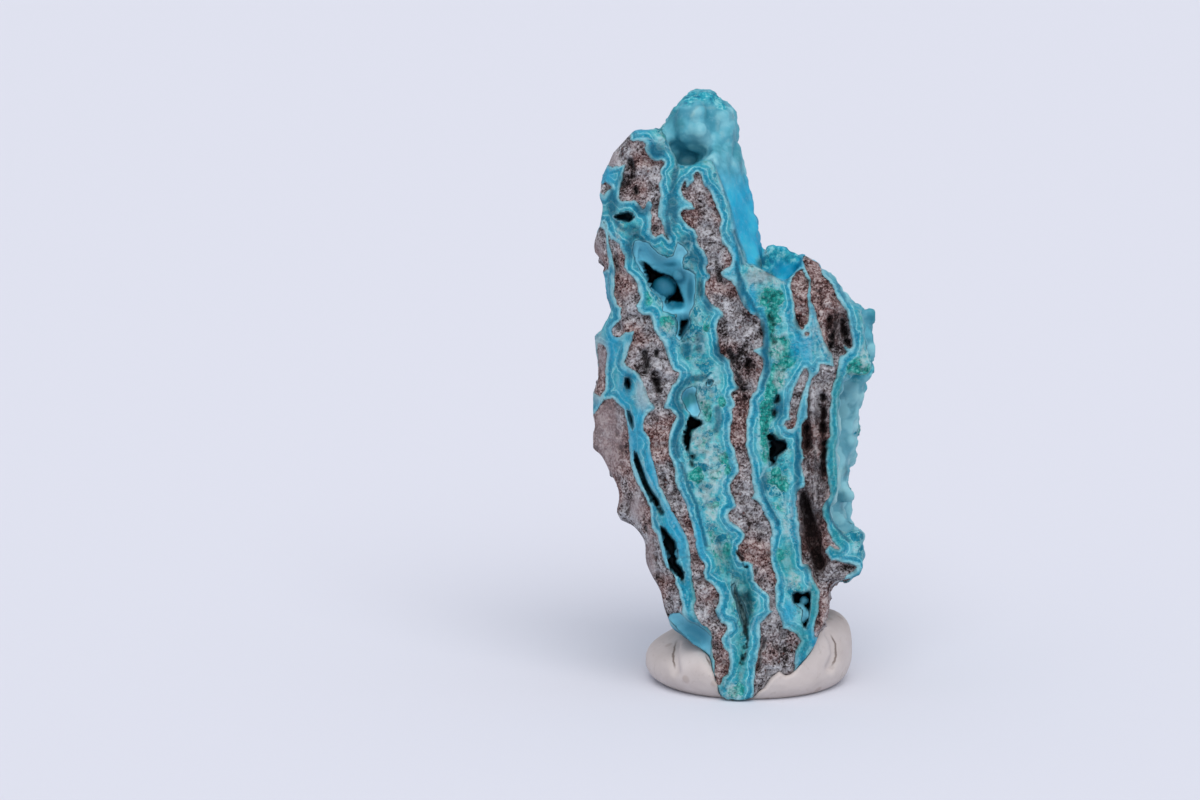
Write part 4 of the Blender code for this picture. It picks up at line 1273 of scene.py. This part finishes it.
lace, enters, leaves = new_group(
    "Lace", [("Vector", "Vector"), ("Green", "Float"), ("Pale", "Float")], COLOUR_AND_HEIGHT
)
where = enters.outputs["Vector"]
tone = grain(lace, where, 0.7, 3, 0.6)
colour = ramp(lace, tone, (
    (0.34, (24, 150, 172)), (0.44, (70, 176, 190)), (0.52, (112, 198, 206)), (0.60, (148, 208, 218)),
    (0.70, (172, 216, 222)),
))
deep_noise = grain(lace, where, 0.75, 3, 0.55)
colour, deep_line = patches(lace, deep_noise, 0.54, colour, paint(14, 134, 160), (156, 212, 220))
green_noise = scaled(lace, enters.outputs["Green"], 0.28, grain(lace, where, 0.6, 3, 0.55))
greens = ramp(lace, grain(lace, where, 0.3, 3, 0.6), (
    (0.34, (2, 92, 94)), (0.46, (6, 134, 128)), (0.56, (34, 164, 156)), (0.68, (122, 206, 200)),
))
colour, green_line = patches(lace, green_noise, 0.6, colour, greens, (160, 208, 202))
whiter = times(lace, enters.outputs["Pale"], clouds(lace, where, 0.28, 3, 0.65, 0.45, 0.6))
colour = tinted(lace, whiter, 0.75, colour, (180, 208, 208))
fine = grain(lace, where, 0.16, 3, 0.7)
colour = tinted(lace, clamped(lace, fine, 0.5, 0.7), 0.3, colour, (168, 212, 216))
lace.links.new(colour, leaves.inputs["Color"])
lines = maths(lace, "MAXIMUM", deep_line, green_line)
lace.links.new(scaled(lace, lines, 0.15, plus(lace, tone, fine)), leaves.inputs["Height"])

# %% [markdown]
# ### The rock
#
# Brown and pinkish grains with pale grey ones between them, and black pits. Colour and height come from the
# same cells, so a pale grain also stands up.

# %% Group: granular rock
ROCK_GRAIN = 0.18  # mm
ROCK_STEPS = (0.28, 0.38, 0.47, 0.56, 0.66, 0.80)
BROWNS = ((30, 17, 17), (70, 46, 45), (116, 87, 85), (154, 127, 125), (188, 168, 166), (214, 202, 200))
GREYS = ((30, 26, 26), (74, 67, 68), (122, 116, 119), (158, 155, 159), (188, 187, 192), (214, 215, 220))
rock_group, enters, leaves = new_group(
    "Granular rock", [("Vector", "Vector"), ("Dark", "Float"), ("Pale", "Float")], COLOUR_AND_HEIGHT
)
where = enters.outputs["Vector"]
fine = grain(rock_group, where, 0.13, 3, 0.7)
cells = put(rock_group, "TexVoronoi", None, Vector=where, Scale=1 / (ROCK_GRAIN * MM))
grain_tone = put(rock_group, "SeparateColor", None, Color=cells.outputs["Color"]).outputs[0]
mixed = scaled(rock_group, grain_tone, 0.24, scaled(rock_group, fine, 1.0, -0.08))
mixed = plus(rock_group, mixed, scaled(rock_group, grain(rock_group, where, 0.7, 3, 0.6), 0.8, -0.39))
# The rock's Dark input carries the dark dabs: darker rock, and painted shade in the right vein's chasm.
lift = maths(rock_group, "SUBTRACT", enters.outputs["Pale"], enters.outputs["Dark"])
value = plus(rock_group, mixed, times(rock_group, lift, 0.13))
browns = ramp(rock_group, value, list(zip(ROCK_STEPS, BROWNS)))
greys = ramp(rock_group, value, list(zip(ROCK_STEPS, GREYS)))
colour = blend(rock_group, clouds(rock_group, where, 3.2, 2, 0.5, 0.42, 0.58), browns, greys)
rust = use_group(rock_group, specks, Vector=where, Scale=2800.0, Amount=0.12).outputs["Mask"]
colour = tinted(rock_group, rust, 0.5, colour, (98, 48, 40))
rock_group.links.new(colour, leaves.inputs["Color"])
rock_group.links.new(mixed, leaves.inputs["Height"])

# %% [markdown]
# ### The stone
#
# The stone's own recipe lays one layer over another: bands and lace, the dabs, the smooth skin, the rock,
# the walls of the hollows in painted shade that darkens with depth and, last, the painted black shade of
# the holes and clefts.

# %% The stone's layers and skin
stone_finish, tree, shader = new_material("banded stone")
where = put(tree, "TexCoord").outputs["Object"]


def measure(name):
    return put(tree, "Attribute", {"attribute_name": name}).outputs["Fac"]


rim, skin, mouth = measure("rim"), measure("skin"), measure("mouth")
green, pale, dark = measure("green"), measure("pale"), measure("dark")
distance = plus(tree, rim, scaled(tree, grain(tree, where, 0.25, 4, 0.65), 0.2, -0.1))
banded = use_group(tree, bands, Vector=where, Distance=distance)
laced = use_group(tree, lace, Vector=where, Green=green, Pale=pale)
rocky = use_group(tree, rock_group, Vector=where, Dark=dark, Pale=pale)

core = clamped(tree, plus(tree, distance, times(tree, green, 0.5)), 0.75, 1.2)
colour = blend(tree, core, banded.outputs["Color"], laced.outputs["Color"])
powder = times(tree, pale, clouds(tree, where, 0.35, 3, 0.65, 0.42, 0.6))
for share, strength, tone in (
    (powder, 0.62, (176, 208, 212)),
    (measure("sky"), 0.6, (24, 164, 206)),
    (measure("teal"), 0.5, (32, 144, 146)),
    (measure("chalk"), 0.72, (164, 190, 198)),
    (measure("deep"), 0.74, (2, 86, 114)),
    (measure("thread"), 0.8, (158, 208, 220)),
):
    colour = tinted(tree, share, strength, colour, tone)

skin_tone = grain(tree, where, 1.6, 3)
skin_blue = ramp(tree, skin_tone, ((0.3, (4, 138, 176)), (0.5, (14, 160, 198)), (0.7, (52, 178, 206))))
skin_teal = ramp(tree, skin_tone, ((0.34, (62, 142, 158)), (0.5, (92, 170, 188)), (0.66, (136, 194, 204))))
skin_colour = blend(tree, measure("knob"), skin_blue, skin_teal)
# Painted shade in the creases between the skin's round lobes.
crease_shade = times(tree, clamped(tree, measure("lobe"), 0.55, 0.15), measure("knob"))
for share, strength, tone in (
    (measure("flank"), 0.45, (158, 206, 212)),
    (crease_shade, 0.5, (44, 126, 150)),
    (clouds(tree, where, 0.3, 3, 0.65, 0.5, 0.75), 0.2, (150, 200, 212)),
):
    skin_colour = tinted(tree, share, strength, skin_colour, tone)
crust_colour = ramp(tree, grain(tree, where, 0.35, 3, 0.65), (
    (0.38, (4, 110, 140)), (0.52, (30, 158, 176)), (0.66, (130, 200, 206)),
))
skin_colour = blend(tree, measure("crust"), skin_colour, crust_colour)
skin_colour = tinted(tree, measure("thread"), 0.6, skin_colour, (166, 200, 194))
colour = blend(tree, skin, colour, skin_colour)
# The dark dabs: darker stone, and painted shade in the knob's gap above the face.
colour = tinted(tree, dark, 0.75, colour, (4, 50, 64))

# %% The stone's rock
STREAK_STRETCH = 0.14  # streaks are about seven times as long as they are wide

rock_mask = times(tree, clamped(tree, distance, 0.03, -0.03), rest_of(tree, skin))
along = put(tree, "Mapping", None, Vector=where, Scale=(1, 1, STREAK_STRETCH)).outputs[0]
streaks = clouds(tree, along, 0.32, 3, 0.65, 0.44, 0.6)
rock_colour = rocky.outputs["Color"]
# The streak dabs: darker rock, and painted shade of the right vein's grooves.
for share, strength, tone in (
    (measure("streak"), 0.4, (92, 68, 66)),
    (times(tree, measure("streak"), streaks), 0.85, (34, 25, 27)),
    (measure("dust"), 0.6, (166, 150, 152)),
):
    rock_colour = tinted(tree, share, strength, rock_colour, tone)
colour = blend(tree, rock_mask, colour, rock_colour)

# %% The stone's hollows, clefts and gloss
# The walls' colours are painted shade: pale near the rim, near black deep inside.
walls = ramp(tree, scaled(tree, grain(tree, where, 1.2, 2), 0.16, measure("wall_shading")), (
    (0.05, (112, 184, 204)), (0.25, (112, 192, 214)), (0.45, (94, 182, 206)), (0.62, (16, 106, 132)),
    (0.85, (4, 40, 52)),
))
edge_line = times(tree, clamped(tree, mouth, -0.16, -0.06), clamped(tree, mouth, 0.06, -0.02))
edge_line = times(tree, edge_line, clouds(tree, where, 0.7, 2, 0.5, 0.35, 0.55))
colour = tinted(tree, edge_line, 0.4, colour, (156, 206, 218))
# On the walls the deep dabs are painted shade on cavity A's sphere and funnel.
walls = tinted(tree, measure("deep"), 0.6, walls, (6, 96, 124))
walls = tinted(tree, green, 0.6, walls, (36, 122, 118))
lined = clamped(tree, mouth, -0.03, 0.05)
colour = blend(tree, lined, colour, walls)
beside_lumps = clamped(tree, measure("lump"), 0.05, -0.01)
# The holes are painted near black as painted shade, kept off the round growths inside them.
hole_shade = times(tree, clamped(tree, measure("hole"), -0.12, 0.1), beside_lumps)
colour = tinted(tree, times(tree, hole_shade, measure("shaded")), 0.94, colour, (4, 24, 32))
druse = ramp(tree, grain(tree, where, 0.4, 3, 0.65), (
    (0.36, (26, 50, 54)), (0.48, (88, 122, 126)), (0.6, (136, 166, 168)), (0.7, (176, 198, 198)),
))
druse_share = times(tree, measure("crumbly"), rest_of(tree, rock_mask))
colour = blend(tree, times(tree, druse_share, 0.85), colour, druse)
# Clefts and chasms are tinted near black: painted shade in these grooves.
colour = tinted(tree, measure("cleft"), 0.8, colour, (26, 20, 21))
tree.links.new(colour, shader.inputs["Base Color"])

height = blend_values(tree, rock_mask, laced.outputs["Height"], rocky.outputs["Height"])
smooth = maths(tree, "MAXIMUM", skin, lined)
height = times(tree, height, scaled(tree, smooth, -0.9, 1.0))
bump = put(tree, "Bump", None, Height=height, Strength=1.0, Distance=0.3 * MM)
tree.links.new(bump.outputs["Normal"], shader.inputs["Normal"])
tree.links.new(blend_values(tree, rock_mask, 0.5, 0.9), shader.inputs["Roughness"])
shader.inputs["Specular IOR Level"].default_value = 0.22
stone.data.materials.clear()
stone.data.materials.append(stone_finish)
print("stone's recipe:", len(tree.nodes), "nodes")

# %% [markdown]
# ### The putty and the floor
#
# The putty is pale and matt, with a few grey specks, faint dirt and a dark line of painted shade in each
# crease. The
# Boolean left an empty material slot on it, so the slots are cleared first.

# %% The putty's material and the floor's
putty_finish, tree, shader = new_material("cream putty")
where = put(tree, "TexCoord").outputs["Object"]
colour = ramp(tree, grain(tree, where, 2.5, 3), (
    (0.3, (186, 176, 172)), (0.6, (200, 191, 188)), (0.8, (208, 200, 198)),
))
dots = use_group(tree, specks, Vector=where, Scale=900.0, Amount=0.05).outputs["Mask"]
colour = tinted(tree, dots, 0.35, colour, (150, 130, 118))
# A dark line in each crease: painted shade.
for number in range(len(CREASES)):
    uneven = scaled(tree, grain(tree, where, 0.5, 3), 0.3, -0.15)
    offset = maths(tree, "ABSOLUTE", plus(tree, measure(f"offset_{number}"), uneven))
    line = times(tree, clamped(tree, offset, 0.13, 0.03), measure(f"ends_{number}"))
    colour = tinted(tree, line, 0.8, colour, (98, 82, 72))
colour = tinted(tree, clouds(tree, where, 0.6, 4, 0.7, 0.56, 0.72), 0.3, colour, (158, 144, 134))
tree.links.new(colour, shader.inputs["Base Color"])
bump = put(tree, "Bump", None, Height=grain(tree, where, 0.35, 3), Strength=0.35, Distance=0.1 * MM)
tree.links.new(bump.outputs["Normal"], shader.inputs["Normal"])
shader.inputs["Roughness"].default_value = 0.7
putty.data.materials.clear()
putty.data.materials.append(putty_finish)
only(putty)
bpy.ops.object.shade_smooth()

floor_finish, tree, shader = new_material("pale paper")
shader.inputs["Base Color"].default_value = paint(221, 223, 232)
shader.inputs["Roughness"].default_value = 0.95
shader.inputs["Specular IOR Level"].default_value = 0.1
floor.data.materials.append(floor_finish)
print("materials:", [material.name for material in (stone_finish, putty_finish, floor_finish)])

# %% [markdown]
# ## The pieces on the body
#
# Each piece rides on the one body and stands for its solid.

# %% Ride and replace
for piece, node, finish in (
    (stone, "hemimorphite_stone", "banded_stone"), (putty, "putty_base", "putty"),
):
    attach(piece, "root")
    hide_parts(node)
